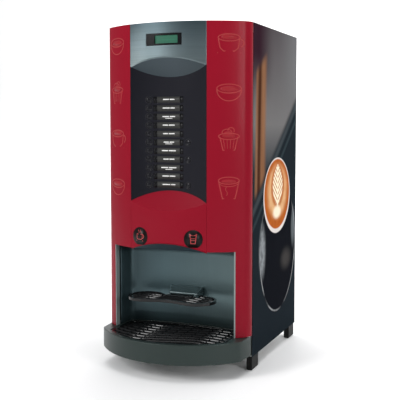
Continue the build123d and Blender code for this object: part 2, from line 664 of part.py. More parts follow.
def water_inlet():
    """Inlet valve with a threaded spigot through the rear panel."""
    spigot = rod((WATER_X, REAR_Y - 8, WATER_Z), (WATER_X, CABINET_DEPTH - 1, WATER_Z), THREAD_R)
    spigot += rod((WATER_X, REAR_Y + 0.1, WATER_Z), (WATER_X, REAR_Y + 4, WATER_Z), 18)
    body = rod((WATER_X, REAR_Y - 50, WATER_Z), (WATER_X, REAR_Y - SHEET - 0.2, WATER_Z), 18)
    coil = block((WATER_X - 16, WATER_X + 16), (REAR_Y - 48, REAR_Y - 14), (WATER_Z + 10, WATER_Z + 52))
    return spigot + body + coil - rod((WATER_X, REAR_Y - 6, WATER_Z), (WATER_X, REAR_Y + 20, WATER_Z), 8.5)


def power_inlet():
    """Three-pin appliance inlet, open to the back."""
    shell = block((POWER_X - 14, POWER_X + 14), (REAR_Y - 22, REAR_Y + 0.5), (POWER_Z - 10, POWER_Z + 10))
    face = block((POWER_X - 24, POWER_X + 24), (REAR_Y + 0.1, REAR_Y + 3), (POWER_Z - 14, POWER_Z + 14))
    socket = block((POWER_X - 12, POWER_X + 12), (REAR_Y - 14, REAR_Y + 5), (POWER_Z - 8, POWER_Z + 8))
    body = shell + face - socket
    for x, z in ((-7, -2), (7, -2), (0, 2)):
        pin_x = (POWER_X + x - 1, POWER_X + x + 1)
        body += block(pin_x, (REAR_Y - 15, REAR_Y - 3), (POWER_Z + z - 2, POWER_Z + z + 2))
    return body


def panel_screws():
    """Dome screws that hold the rear panel and the side panels' rear flanges."""
    shapes = []
    for x in (-185.0, 0.0, 185.0):
        for z in (BASE_Z + 20, BASE_Z + 430, TOP_Z - 25):
            head = Pos(x, REAR_Y, z) * Sphere(5)
            shapes.append(head & block((x - 5, x + 5), (REAR_Y, REAR_Y + 3.5), (z - 5, z + 5)))
    return group(shapes)


# ---- tray and cup shelf ----------------------------------------------------------
TRAY_SIDE = 203.0
TRAY_FACET = (198.0, -68.0)
GRILLE_HALF = 165.0
GRILLE_LOW_Z = TRAY_TOP_Z - 6.0
GRILLE_TOP_Z = TRAY_TOP_Z - 1.0


def tray_plan(inset=0.0):
    """The tray's D outline ahead of the door seam, with a facet at each side."""
    x, y = TRAY_FACET[0] - inset, TRAY_FACET[1]
    front = -TRAY_REACH + inset
    side = TRAY_SIDE - inset
    edges = [
        Line((side, 0), (x, y)),
        ThreePointArc((x, y), (0, front), (-x, y)),
        Line((-x, y), (-side, 0)),
        Line((-side, 0), (side, 0)),
    ]
    return make_face(edges)


def grille_solid(inset, low_z, high_z):
    """The grille's outline, which runs back into the niche, as an upright solid."""
    ahead = upright(tray_plan(14 + inset), low_z, high_z)
    half = GRILLE_HALF - inset
    ahead &= block((-half, half), (-200, 0), (0, 500))
    inside = upright(liner_plan(3.0 + inset), low_z, high_z) & block((-half, half), (-20, 100), (0, 500))
    return ahead + inside


def drip_tray():
    """Tray body with a ledge that carries the grille."""
    outer = upright(tray_plan(), TRAY_LOW_Z, TRAY_TOP_Z)
    outer += upright(liner_plan(-3.0), TRAY_LOW_Z, TRAY_TOP_Z) & block((-180, 180), (-20, 100), (0, 500))
    tray = outer - grille_solid(-0.6, GRILLE_LOW_Z, TRAY_TOP_Z + 1)
    return tray - grille_solid(5.0, TRAY_LOW_Z + 3, TRAY_TOP_Z + 1)


def drip_grille():
    """Lift-out grille with long curved slots between straight ribs."""
    plate = grille_solid(0.0, GRILLE_LOW_Z, GRILLE_TOP_Z)
    inner = grille_solid(9.0, GRILLE_LOW_Z - 1, GRILLE_TOP_Z + 1)
    slots = None
    centre = Pos(40, 330, GRILLE_LOW_Z)
    for number in range(13):
        radius = 300 + 15 * number
        ring = centre * (Cylinder(radius + 4.5, 12) - Cylinder(radius - 4.5, 14))
        slots = ring if slots is None else slots + ring
    slots = slots & inner
    for x in (-112, -56, 0, 56, 112):
        slots = slots - block((x - 2.5, x + 2.5), (-200, 100), (0, 500))
    return plate - slots


SHELF_X = -5.0            # middle of the cup shelf
LOBES_X = {-1: -85.0, 1: 64.0}
LOBE_Y, LOBE_R = -32.0, 50.0
CUP_SHELF_TOP_Z = BASE_Z + 147.0
CUP_SHELF_THICK = 8.0
FOLD_Y, FOLD_Z = 5.0, BASE_Z + 143.0
FOLD_PIN_R = 2.5


def shelf_bracket():
    """Wedge on the niche's back wall, with two ears and the cup shelf's pin."""
    low_z, front_y = BASE_Z + 136.0, 12.0
    plan = make_face([Polyline((-52, 60), (48, 60), (46, front_y), (-38, front_y), (-52, 60))])
    wedge = upright(plan, low_z, BASE_Z + 165) & upright(liner_plan(1.5), low_z - 1, BASE_Z + 170)
    cutter = Plane(origin=(0, front_y, BASE_Z + 152), z_dir=(0, -0.28, 1)) * (Pos(0, 0, 20) * Box(300, 200, 40))
    wedge -= cutter
    for x in ((-38, -31), (39, 46)):
        wedge += block(x, (0, front_y + 1), (FOLD_Z - 5, FOLD_Z + 6))
    return wedge + rod((-32, FOLD_Y, FOLD_Z), (40, FOLD_Y, FOLD_Z), FOLD_PIN_R)


def cup_shelf():
    """Two-lobed folding cup stand with slots in each lobe."""
    low_z = CUP_SHELF_TOP_Z - CUP_SHELF_THICK
    middle_z = (low_z + CUP_SHELF_TOP_Z) / 2
    shelf = block((SHELF_X - 70, SHELF_X + 60), (-66, -4), (low_z, CUP_SHELF_TOP_Z))
    for side in (-1, 1):
        shelf += Pos(LOBES_X[side], LOBE_Y, middle_z) * Cylinder(LOBE_R, CUP_SHELF_THICK)
    shelf -= block((-46, 51), (-4, 30), (0, 500))
    for side in (-1, 1):
        for step in range(-2, 3):
            length = 2 * sqrt(41**2 - (13 * step) ** 2)
            plane = Plane(origin=(LOBES_X[side], LOBE_Y + 13 * step, low_z - 1), z_dir=(0, 0, 1))
            cut = extrude(plane * SlotOverall(length, 6), 12)
            shelf -= cut & block((-200, -50) if side < 0 else (56, 200), (-90, 30), (0, 500))
    barrel_x = (-28, 36)
    shelf += block(barrel_x, (-5, FOLD_Y), (low_z, CUP_SHELF_TOP_Z))
    shelf += rod((barrel_x[0], FOLD_Y, FOLD_Z), (barrel_x[1], FOLD_Y, FOLD_Z), 5.5)
    return shelf - rod((-40, FOLD_Y, FOLD_Z), (50, FOLD_Y, FOLD_Z), FOLD_PIN_R + RUNNING)


def make_cabinet():
    save("left_side_panel", side_panel(-1))
    save("right_side_panel", side_panel(1))
    save("top_cover", top_cover())
    save("base_pan", base_pan())
    save("feet", feet())
    save("front_frame", front_frame())
    save("hinge_brackets", hinge_brackets())
    save("rear_panel", rear_panel())
    save("panel_screws", panel_screws())
    save("niche_liner", niche_liner())
    save("bulkhead", bulkhead())
    save("shelf_bracket", shelf_bracket())
    save("cup_shelf", cup_shelf())
    save("drip_tray", drip_tray())
    save("drip_grille", drip_grille())


def make_drink_works():
    for number, x in enumerate(CANISTER_X, start=1):
        save(f"canister_{number}", canister(x))
        save(f"auger_{number}", auger(x))
    save("canister_lids", canister_lids())
    for number, x in enumerate(BOWL_X, start=1):
        save(f"mixing_bowl_{number}", mixing_bowl(x))
        save(f"whipper_{number}", whipper(x))
    motors = [geared_motor(x, MOTOR_PLATE_Y + 2, AUGER_Z, 20, 40) for x in CANISTER_X]
    motors += [geared_motor(x, MIXER_PLATE_Y + 2, WHIPPER_Z, 20, 34) for x in BOWL_X]
    save("drive_motors", group(motors))
    save("spout_block", spout_block())
    save("drink_hoses", drink_hoses())
    save("boiler", boiler())
    save("water_valves", water_valves())
    save("water_inlet", water_inlet())
    save("power_inlet", power_inlet())


make_cabinet()
make_door()
make_drink_works()
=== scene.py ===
import random
from math import atan2, ceil, cos, hypot, pi, radians, sin, sqrt, tan

import bmesh
import bpy
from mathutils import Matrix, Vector


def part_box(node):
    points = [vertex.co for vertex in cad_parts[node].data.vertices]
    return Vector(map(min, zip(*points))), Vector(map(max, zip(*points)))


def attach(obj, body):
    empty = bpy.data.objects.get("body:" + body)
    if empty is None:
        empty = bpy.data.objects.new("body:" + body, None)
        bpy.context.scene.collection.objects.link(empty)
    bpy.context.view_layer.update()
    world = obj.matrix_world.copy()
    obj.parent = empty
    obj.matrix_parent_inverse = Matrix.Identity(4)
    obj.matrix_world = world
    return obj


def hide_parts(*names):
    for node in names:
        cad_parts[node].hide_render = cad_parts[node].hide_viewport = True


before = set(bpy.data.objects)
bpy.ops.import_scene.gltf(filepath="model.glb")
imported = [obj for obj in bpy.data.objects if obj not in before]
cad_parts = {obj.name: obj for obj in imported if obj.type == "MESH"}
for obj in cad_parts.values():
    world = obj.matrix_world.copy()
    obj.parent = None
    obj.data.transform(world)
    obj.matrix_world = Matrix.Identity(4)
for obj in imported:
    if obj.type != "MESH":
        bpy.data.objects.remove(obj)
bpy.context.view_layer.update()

# ---- driving dimensions, in metres --------------------------------------------
# The door seam is the plane between the door and the cabinet. X is to the machine's
# right, Y to the back, Z up, and the origin is the middle of the footprint.
MM = 0.001
HALF_WIDTH = 205 * MM
SEAM_PLANE_Y = -116 * MM
FOOT = 38 * MM
TOP_Z = 903 * MM
DOOR_LOW_Z = FOOT + 57.5 * MM
DOOR_BULGE = 96 * MM
DOOR_CORNER = 41 * MM
SKIN = 3 * MM
SEAM_X = 107.5 * MM
SEAM_GAP = 0.5 * MM
NICHE_HALF = 174 * MM
NICHE_TOP_Z = FOOT + 281 * MM
PANEL_TOP_Z = FOOT + 756 * MM
PANEL_LOW_Z = FOOT + 406 * MM
PANEL_SAG = 25 * MM
SLANT = radians(48)
TRAY_TOP_Z = FOOT + 57 * MM
TRAY_LOW_Z = FOOT + 5 * MM
ROW_TOP_Z = FOOT + 670.1 * MM
ROW_PITCH = 22.15 * MM
ROWS = 11

random.seed(7)


# ---- shape of the door ----------------------------------------------------------
def arch():
    """How far the door arch's centre lies behind the seam, and the arch's radius."""
    side, rise = HALF_WIDTH - DOOR_CORNER, DOOR_BULGE - DOOR_CORNER
    back = (side**2 - rise**2) / (2 * rise)
    return back, DOOR_BULGE + back


def door_point(s, inset=0.0):
    """Point in plan on the door's face, s from -1 at the left seam to 1 at the right one."""
    back, radius = arch()
    side = HALF_WIDTH - DOOR_CORNER
    wide, corner = radius - inset, DOOR_CORNER - inset
    turn = atan2(side, back)
    long_part, short_part = wide * turn, corner * (pi / 2 - turn)
    run = abs(s) * (long_part + short_part)
    sign = 1 if s >= 0 else -1
    if run <= long_part:
        angle = run / wide
        return sign * wide * sin(angle), SEAM_PLANE_Y + back - wide * cos(angle)
    angle = turn + (run - long_part) / corner
    return sign * (side + corner * sin(angle)), SEAM_PLANE_Y - corner * cos(angle)


def door_y(x, inset=0.0):
    """Y of the door's face at x."""
    back, radius = arch()
    side = HALF_WIDTH - DOOR_CORNER
    wide, corner = radius - inset, DOOR_CORNER - inset
    if abs(x) <= wide * side / hypot(side, back):
        return SEAM_PLANE_Y + back - sqrt(wide**2 - x**2)
    return SEAM_PLANE_Y - sqrt(max(corner**2 - (abs(x) - side) ** 2, 0))


SEAM_Y = door_y(SEAM_X)
PANEL_RADIUS = (SEAM_X**2 + PANEL_SAG**2) / (2 * PANEL_SAG)
PANEL_CENTRE_Y = SEAM_Y + PANEL_SAG - PANEL_RADIUS


def panel_y(x):
    """Y of the hollow selection panel's face at x."""
    return PANEL_CENTRE_Y + sqrt(PANEL_RADIUS**2 - x**2)


def slant_z(edge_z, y, rise=1):
    """Height of a facet plane that passes through the seam line at edge_z."""
    return edge_z - rise * (y - SEAM_Y) * tan(SLANT)


# ---- mesh helpers -----------------------------------------------------------------
def new_object(name, verts, faces, body, material, smooth=True):
    """A mesh object that rides a body."""
    mesh = bpy.data.meshes.new(name)
    mesh.from_pydata([tuple(v) for v in verts], [], faces)
    mesh.validate()
    piece = bpy.data.objects.new(name, mesh)
    bpy.context.scene.collection.objects.link(piece)
    mesh.materials.append(material)
    if smooth:
        for polygon in mesh.polygons:
            polygon.use_smooth = True
    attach(piece, body)
    return piece


def tidy_mesh(piece, merge=0.00002):
    """Merges doubled points and turns every face outwards."""
    shape = bmesh.new()
    shape.from_mesh(piece.data)
    bmesh.ops.remove_doubles(shape, verts=shape.verts, dist=merge)
    bmesh.ops.recalc_face_normals(shape, faces=shape.faces)
    shape.to_mesh(piece.data)
    shape.free()
    return piece


def bevel(piece, width, segments=2, angle=32):
    """Rounds the edges sharper than an angle in degrees."""
    step = piece.modifiers.new("soft_edges", "BEVEL")
    step.width = width
    step.segments = segments
    step.limit_method = "ANGLE"
    step.angle_limit = radians(angle)
    step.harden_normals = True
    return piece


def sheet_piece(name, columns, rows, place, inner, body, material, keep=None, edge=0.0008):
    """A closed curved sheet. place(i, j) and inner(i, j) give its two faces on one grid,
    and keep(i, j) says which cells exist."""
    verts, faces, index = [], [], {}

    def corner(layer, i, j):
        key = (layer, i, j)
        if key not in index:
            index[key] = len(verts)
            verts.append((place if layer == 0 else inner)(i, j))
        return index[key]

    def there(i, j):
        inside = 0 <= i < columns and 0 <= j < rows
        return inside and (keep is None or keep(i, j))

    for i in range(columns):
        for j in range(rows):
            if not there(i, j):
                continue
            around = [(i, j), (i + 1, j), (i + 1, j + 1), (i, j + 1)]
            faces.append([corner(0, *c) for c in around])
            faces.append([corner(1, *c) for c in reversed(around)])
            beside = [(i, j - 1), (i + 1, j), (i, j + 1), (i - 1, j)]
            for side, other in enumerate(beside):
                if not there(*other):
                    a, b = around[side], around[(side + 1) % 4]
                    faces.append([corner(0, *b), corner(0, *a), corner(1, *a), corner(1, *b)])
    piece = tidy_mesh(new_object(name, verts, faces, body, material))
    return bevel(piece, edge) if edge else piece


def box_mesh(low, high):
    """Corners and faces of a box."""
    xs, ys, zs = ((low[k], high[k]) for k in range(3))
    verts = [(x, y, z) for z in zs for y in ys for x in xs]
    faces = [(0, 2, 3, 1), (4, 5, 7, 6), (0, 1, 5, 4), (2, 6, 7, 3), (1, 3, 7, 5), (0, 4, 6, 2)]
    return verts, faces


def gather(parts):
    """Several lists of corners and faces as one."""
    verts, faces = [], []
    for part_verts, part_faces in parts:
        base = len(verts)
        verts += part_verts
        faces += [tuple(base + k for k in face) for face in part_faces]
    return verts, faces


def joined(name, parts, body, material, smooth=True):
    """One mesh from several lists of corners and faces."""
    return new_object(name, *gather(parts), body, material, smooth)


def turned(profile, centre, axis, steps=48):
    """Corners and faces of a solid of revolution. profile holds (radius, along)
    pairs, and the first and last radius may be zero."""
    along = Vector(axis).normalized()
    across = along.orthogonal().normalized()
    other = along.cross(across)
    verts, faces, rings = [], [], []
    for radius, height in profile:
        ring = []
        count = 1 if radius < 1e-6 else steps
        for k in range(count):
            angle = 2 * pi * k / steps
            out = across * cos(angle) * radius + other * sin(angle) * radius
            ring.append(len(verts))
            verts.append(tuple(Vector(centre) + along * height + out))
        rings.append(ring)
    for low, high in zip(rings, rings[1:]):
        for k in range(steps):
            a, b = low[k % len(low)], low[(k + 1) % len(low)]
            c, d = high[(k + 1) % len(high)], high[k % len(high)]
            face = list(dict.fromkeys((a, b, c, d)))
            if len(face) > 2:
                faces.append(tuple(face))
    return verts, faces


def rod(radius, length, start, axis, steps=40):
    """Corners and faces of a round bar."""
    return turned([(0, 0), (radius, 0), (radius, length), (0, length)], start, axis, steps)


def crisp(piece, angle):
    """Keeps edges sharper than an angle in degrees from being shaded smooth."""
    piece.data.set_sharp_from_angle(angle=radians(angle))
    return piece


def cut(piece, verts, faces):
    """Takes a closed shape away from a piece."""
    mesh = bpy.data.meshes.new("cutter")
    mesh.from_pydata([tuple(v) for v in verts], [], faces)
    cutter = bpy.data.objects.new("cutter", mesh)
    bpy.context.scene.collection.objects.link(cutter)
    shape = bmesh.new()
    shape.from_mesh(mesh)
    bmesh.ops.recalc_face_normals(shape, faces=shape.faces)
    shape.to_mesh(mesh)
    shape.free()
    step = piece.modifiers.new("holes", "BOOLEAN")
    step.operation = "DIFFERENCE"
    step.solver = "EXACT"
    step.object = cutter
    graph = bpy.context.evaluated_depsgraph_get()
    made = bpy.data.meshes.new_from_object(piece.evaluated_get(graph))
    piece.modifiers.remove(step)
    piece.data = made
    bpy.data.objects.remove(cutter)
    return piece


def raised(outline, low_z, high_z):
    """Corners and faces of an upright solid over a plan outline."""
    count = len(outline)
    verts = [(x, y, z) for z in (low_z, high_z) for x, y in outline]
    sides = [(k, (k + 1) % count, count + (k + 1) % count, count + k) for k in range(count)]
    return verts, [tuple(range(count))[::-1], tuple(range(count, 2 * count)), *sides]


def prism(name, outline, low_z, high_z, body, material, holes=()):
    """An upright solid from a plan outline, with holes cut through it."""
    piece = new_object(name, *raised(outline, low_z, high_z), body, material)
    for hole in holes:
        cut(piece, *raised(hole, low_z - 1 * MM, high_z + 1 * MM))
    return piece


# ---- node helpers -------------------------------------------------------------------
class Net:
    """Short calls that add and join shader nodes in one tree."""

    def __init__(self, tree):
        self.tree = tree

    def add(self, kind, **settings):
        node = self.tree.nodes.new(kind)
        for key, value in settings.items():
            setattr(node, key, value)
        return node

    def feed(self, socket, value):
        if isinstance(value, bpy.types.NodeSocket):
            self.tree.links.new(value, socket)
        else:
            socket.default_value = value

    def math(self, kind, a, b=0.0, c=0.0, clamp=False):
        node = self.add("ShaderNodeMath", operation=kind, use_clamp=clamp)
        for socket, value in zip(node.inputs, (a, b, c)):
            self.feed(socket, value)
        return node.outputs[0]

    def times(self, a, b, clamp=False):
        return self.math("MULTIPLY", a, b, clamp=clamp)

    def plus(self, a, b, clamp=False):
        return self.math("ADD", a, b, clamp=clamp)

    def less(self, a, b, clamp=False):
        return self.math("SUBTRACT", a, b, clamp=clamp)

    def over(self, a, b):
        return self.math("DIVIDE", a, b)

    def mix(self, share, a, b, blend="MIX"):
        node = self.add("ShaderNodeMix", data_type="RGBA", blend_type=blend)
        for index, value in ((0, share), (6, a), (7, b)):
            self.feed(node.inputs[index], value)
        return node.outputs[2]

    def place(self):
        """Object coordinates, which are the machine's own metres."""
        return self.add("ShaderNodeTexCoord").outputs["Object"]

    def split(self, vector):
        node = self.add("ShaderNodeSeparateXYZ")
        self.feed(node.inputs[0], vector)
        return node.outputs

    def noise(self, vector, scale, detail=3.0, rough=0.5):
        node = self.add("ShaderNodeTexNoise")
        for key, value in (("Vector", vector), ("Scale", scale), ("Detail", detail), ("Roughness", rough)):
            self.feed(node.inputs[key], value)
        return node.outputs["Fac"]

    def stretch(self, vector, scale):
        node = self.add("ShaderNodeMapping")
        self.feed(node.inputs["Vector"], vector)
        node.inputs["Scale"].default_value = scale
        return node.outputs[0]

    def ramp(self, value, stops):
        node = self.add("ShaderNodeValToRGB")
        line = node.color_ramp
        while len(line.elements) < len(stops):
            line.elements.new(0.5)
        for element, (position, colour) in zip(line.elements, stops):
            element.position = position
            element.color = colour
        self.feed(node.inputs[0], value)
        return node.outputs[0]

    def soft(self, value, low, high):
        """0 below low, 1 above high, smooth between them."""
        node = self.add("ShaderNodeMapRange", interpolation_type="SMOOTHSTEP")
        for index, item in enumerate((value, low, high, 0.0, 1.0)):
            self.feed(node.inputs[index], item)
        return node.outputs[0]

    def disc(self, across, up, centre, radius, blur):
        """1 inside an ellipse, soft at its edge."""
        a = self.over(self.less(across, centre[0]), radius[0])
        b = self.over(self.less(up, centre[1]), radius[1])
        far = self.math("SQRT", self.plus(self.times(a, a), self.times(b, b)))
        return self.soft(far, 1 + blur, 1 - blur)

    def box(self, value, low, high, blur):
        """1 between low and high, soft at both ends."""
        rise = self.soft(value, self.less(low, blur), self.plus(low, blur))
        fall = self.soft(value, self.plus(high, blur), self.less(high, blur))
        return self.times(rise, fall)

    def use(self, group, **values):
        node = self.add("ShaderNodeGroup", node_tree=group)
        for key, value in values.items():
            self.feed(node.inputs[key.replace("_", " ")], value)
        return node.outputs


def new_group(name, inputs, outputs):
    """An empty node group with named sockets. inputs holds (name, kind, start value)."""
    tree = bpy.data.node_groups.new(name, "ShaderNodeTree")
    for label, kind, start in inputs:
        socket = tree.interface.new_socket(label, in_out="INPUT", socket_type="NodeSocket" + kind)
        socket.default_value = start
    for label, kind in outputs:
        tree.interface.new_socket(label, in_out="OUTPUT", socket_type="NodeSocket" + kind)
    net = Net(tree)
    return tree, net, net.add("NodeGroupInput").outputs, net.add("NodeGroupOutput").inputs


def finish_group():
    """Handling marks: a slow change of tone, fine grain and smears in the gloss."""
    tree, net, given, out = new_group(
        "handled_finish",
        [("Colour", "Color", (0.5, 0.5, 0.5, 1)), ("Tone", "Float", 0.06), ("Grain Size", "Float", 900.0),
         ("Roughness", "Float", 0.4), ("Smear", "Float", 0.06)],
        [("Colour", "Color"), ("Roughness", "Float"), ("Height", "Float")],
    )
    place = net.place()
    slow = net.noise(place, 9.0, 2.0)
    grain = net.noise(place, given["Grain Size"], 2.0)
    smears = net.noise(net.stretch(place, (14.0, 14.0, 4.0)), 3.0, 5.0, 0.65)
    dark = net.mix(1.0, given["Colour"], (0.55, 0.55, 0.55, 1), "MULTIPLY")
    share = net.times(net.math("ABSOLUTE", net.less(slow, 0.5)), given["Tone"])
    share = net.times(share, 6.0, clamp=True)
    net.feed(out["Colour"], net.mix(share, given["Colour"], dark))
    swing = net.times(net.less(smears, 0.5), given["Smear"])
    net.feed(out["Roughness"], net.plus(given["Roughness"], swing, clamp=True))
    net.feed(out["Height"], net.plus(grain, net.times(slow, 0.4)))
    return tree


def brushed_group():
    """Fine straight scratches along X, as on brushed sheet."""
    tree, net, given, out = new_group(
        "brushed_lines",
        [("Colour", "Color", (0.5, 0.5, 0.5, 1)), ("Contrast", "Float", 0.25),
         ("Roughness", "Float", 0.35)],
        [("Colour", "Color"), ("Roughness", "Float"), ("Height", "Float")],
    )
    place = net.place()
    fine = net.noise(net.stretch(place, (6.0, 6.0, 1400.0)), 1.0, 3.0, 0.7)
    wide = net.noise(net.stretch(place, (2.0, 2.0, 160.0)), 1.0, 2.0)
    lines = net.plus(net.times(fine, 0.7), net.times(wide, 0.3))
    dark = net.mix(1.0, given["Colour"], (0.45, 0.46, 0.47, 1), "MULTIPLY")
    share = net.times(net.soft(lines, 0.42, 0.7), given["Contrast"])
    net.feed(out["Colour"], net.mix(share, given["Colour"], dark))
    net.feed(out["Roughness"], net.plus(given["Roughness"], net.times(lines, 0.12)))
    net.feed(out["Height"], lines)
    return tree


def dust_group():
    """A mask for dust and dull wear that lies on upward faces, in patches."""
    tree, net, given, out = new_group(
        "settled_dust",
        [("Amount", "Float", 0.3)],
        [("Mask", "Float")],
    )
    normal = net.add("ShaderNodeNewGeometry").outputs["Normal"]
    upward = net.soft(net.split(normal)[2], 0.4, 1.0)
    patches = net.noise(net.place(), 26.0, 4.0, 0.6)
    mask = net.times(net.times(upward, patches), given["Amount"], clamp=True)
    net.feed(out["Mask"], mask)
    return tree


FINISH = finish_group()
BRUSHED = brushed_group()
DUST = dust_group()
DUST_GREY = (0.34, 0.33, 0.31)


def principled(name, metallic=0.0, roughness=0.4, coat=0.0, coat_rough=0.05, ior=1.45):
    """A material with one Principled shader. Returns it with its net and shader."""
    material = bpy.data.materials.new(name)
    material.use_nodes = True
    net = Net(material.node_tree)
    shader = material.node_tree.nodes["Principled BSDF"]
    shader.inputs["Metallic"].default_value = metallic
    shader.inputs["Roughness"].default_value = roughness
    shader.inputs["Coat Weight"].default_value = coat
    shader.inputs["Coat Roughness"].default_value = coat_rough
    shader.inputs["IOR"].default_value = ior
    return material, net, shader


def bump(net, shader, height, depth, strength=0.3):
    """Fine relief from a height."""
    node = net.add("ShaderNodeBump")
    node.inputs["Strength"].default_value = strength
    node.inputs["Distance"].default_value = depth
    net.feed(node.inputs["Height"], height)
    net.feed(shader.inputs["Normal"], node.outputs[0])


def handled(net, shader, shade, roughness, tone=0.05, grain=900.0, smear=0.06, depth=0.00004, strength=0.3,
            height=None):
    """Lays the handled finish over a colour, with relief from height or from its own grain."""
    made = net.use(FINISH, Colour=shade, Tone=tone, Grain_Size=grain, Roughness=roughness, Smear=smear)
    net.feed(shader.inputs["Base Color"], made["Colour"])
    net.feed(shader.inputs["Roughness"], made["Roughness"])
    bump(net, shader, height or made["Height"], depth, strength)


def scratched(net, shader, shade, contrast, roughness):
    """Lays the brushed finish over a colour."""
    made = net.use(BRUSHED, Colour=shade, Contrast=contrast, Roughness=roughness)
    net.feed(shader.inputs["Base Color"], made["Colour"])
    net.feed(shader.inputs["Roughness"], made["Roughness"])
    bump(net, shader, made["Height"], 0.00003, 0.35)


def moulded(name, colour, roughness=0.4, metallic=0.0, coat=0.0, tone=0.05, grain=900.0, smear=0.06,
            depth=0.00004, dust=0.0, ior=1.45, strength=0.3):
    """A painted or moulded finish with grain, smears and a little dust."""
    material, net, shader = principled(name, metallic, roughness, coat, ior=ior)
    handled(net, shader, (*colour, 1), roughness, tone, grain, smear, depth, strength)
    if dust:
        clean = shader.inputs["Base Color"].links[0].from_socket
        mask = net.use(DUST, Amount=dust)["Mask"]
        net.feed(shader.inputs["Base Color"], net.mix(mask, clean, (*DUST_GREY, 1)))
    return material


def brushed(name, colour, roughness=0.3, contrast=0.3, metallic=1.0):
    """A brushed metal finish."""
    material, net, shader = principled(name, metallic, roughness)
    scratched(net, shader, (*colour, 1), contrast, roughness)
    return material


# ---- finishes ---------------------------------------------------------------------------
RED = (0.245, 0.0045, 0.0150)
RED_LINE = (0.36, 0.04, 0.042)
RED_FILL = (0.30, 0.019, 0.027)


def rgb(r, g, b):
    """An opaque colour."""
    return (r, g, b, 1)


def red_cover_finish():
    """Deep red gloss paint, with painted shade: a little darker towards the foot of the door and brighter
    towards its top.
    """
    material, net, shader = principled("red_gloss_paint", 0.0, 0.3, coat=0.04, coat_rough=0.12, ior=1.16)
    up = net.split(net.place())[2]
    # Painted shade and light: the red ramps from darker at the foot of the door to brighter at its top.
    deep, bright = (RED[0] * 0.9, RED[1], RED[2], 1), (RED[0] * 1.08, RED[1] * 1.3, RED[2] * 1.2, 1)
    tone = net.ramp(up, [(0.10, deep), (0.9, bright)])
    handled(net, shader, tone, 0.3, 0.03, 1600.0, 0.05, 0.00002, 0.2)
    return material


def fascia_finish():
    """Brushed steel with painted reflection and shade: darker at the top, pale in a band below the display,
    and darker from the middle to the right.
    """
    material, net, shader = principled("brushed_steel_fascia", 0.85, 0.34)
    x, _, z = net.split(net.place())
    height = net.over(net.less(z, PANEL_TOP_Z), TOP_Z - PANEL_TOP_Z)
    # Painted reflection: a pale band below the display, darkening towards the top of the sheet.
    pale, middle, dark = (0.33, 0.40, 0.41, 1), (0.27, 0.34, 0.36, 1), (0.085, 0.12, 0.135, 1)
    band = net.ramp(height, [(0.1, pale), (0.45, middle), (1.0, dark)])
    # Painted shade: darker from the middle of the sheet to its right.
    side = net.soft(x, -0.105, -0.035)
    shade = net.mix(net.times(side, 0.62), band, (0.05, 0.075, 0.085, 1))
    scratched(net, shader, shade, 0.35, 0.33)
    return material


def panel_finish():
    """Black gloss panel with a faint smear and a painted sheen: a soft lighter centre."""
    material, net, shader = principled("black_gloss_panel", 0.0, 0.16, coat=0.05, coat_rough=0.04, ior=1.2)
    x, _, z = net.split(net.place())
    # Painted sheen: a soft lighter patch in the middle of the black panel.
    middle = net.disc(x, z, (0.03, FOOT + 0.6), (0.12, 0.3), 0.6)
    shade = net.mix(middle, (0.0075, 0.0075, 0.011, 1), (0.0145, 0.0145, 0.019, 1))
    handled(net, shader, shade, 0.17, 0.02, 1400.0, 0.08, 0.00001, 0.12)
    return material


def lens_finish():
    """Smoked facet, with a painted reflection: paler towards its right end."""
    material, net, shader = principled("smoked_facet", 0.3, 0.3, ior=1.3)
    x = net.split(net.place())[0]
    # Painted reflection: darker at the left, paler towards the right end.
    shade = net.ramp(net.plus(net.times(x, 4.5), 0.5), [
        (0.0, rgb(0.034, 0.05, 0.06)),
        (0.6, rgb(0.056, 0.074, 0.086)),
        (1.0, rgb(0.045, 0.062, 0.07)),
    ])
    handled(net, shader, shade, 0.3, 0.05, 1200.0, 0.07, 0.00002, 0.2)
    return material


def liner_finish():
    """Slate lacquer over steel, with upright brushing and painted shade: darker towards the left."""
    material, net, shader = principled("slate_lacquered_steel", 0.55, 0.32)
    place = net.place()
    x = net.split(place)[0]
    # Painted shade: the niche wall darkens towards the left.
    shade = net.ramp(net.plus(net.times(x, 2.9), 0.5), [
        (0.0, rgb(0.05, 0.082, 0.092)),
        (0.3, rgb(0.09, 0.145, 0.16)),
        (1.0, rgb(0.135, 0.195, 0.2)),
    ])
    lines = net.noise(net.stretch(place, (900.0, 900.0, 5.0)), 1.0, 3.0, 0.6)
    shade = net.mix(net.times(lines, 0.22), shade, (0.03, 0.045, 0.05, 1))
    handled(net, shader, shade, 0.32, 0.05, 700.0, 0.10, 0.00003, 0.25, height=lines)
    return material


def lcd_finish():
    """Lit green character display: two rows of blank cells on a glowing ground."""
    material, net, shader = principled("green_display", 0.0, 0.18, coat=0.5)
    x, _, z = net.split(net.place())
    low_x, low_z, cell_x, cell_z = -26.5 * MM, FOOT + 812 * MM, 3.72 * MM, 8.0 * MM
    across = net.math("FRACT", net.over(net.less(x, low_x), cell_x))
    up = net.math("FRACT", net.over(net.less(z, low_z), cell_z))
    cell = net.times(net.box(across, 0.12, 0.88, 0.03), net.box(up, 0.1, 0.9, 0.03))
    field = net.times(net.box(x, low_x, low_x + 16 * cell_x, 0.0002),
                     net.box(z, low_z, low_z + 2 * cell_z, 0.0002))
    mask = net.times(net.times(cell, field), 0.35)
    glow = net.mix(mask, (0.014, 0.105, 0.06, 1), (0.006, 0.05, 0.03, 1))
    net.feed(shader.inputs["Base Color"], glow)
    net.feed(shader.inputs["Emission Color"], glow)
    shader.inputs["Emission Strength"].default_value = 0.35
    return material


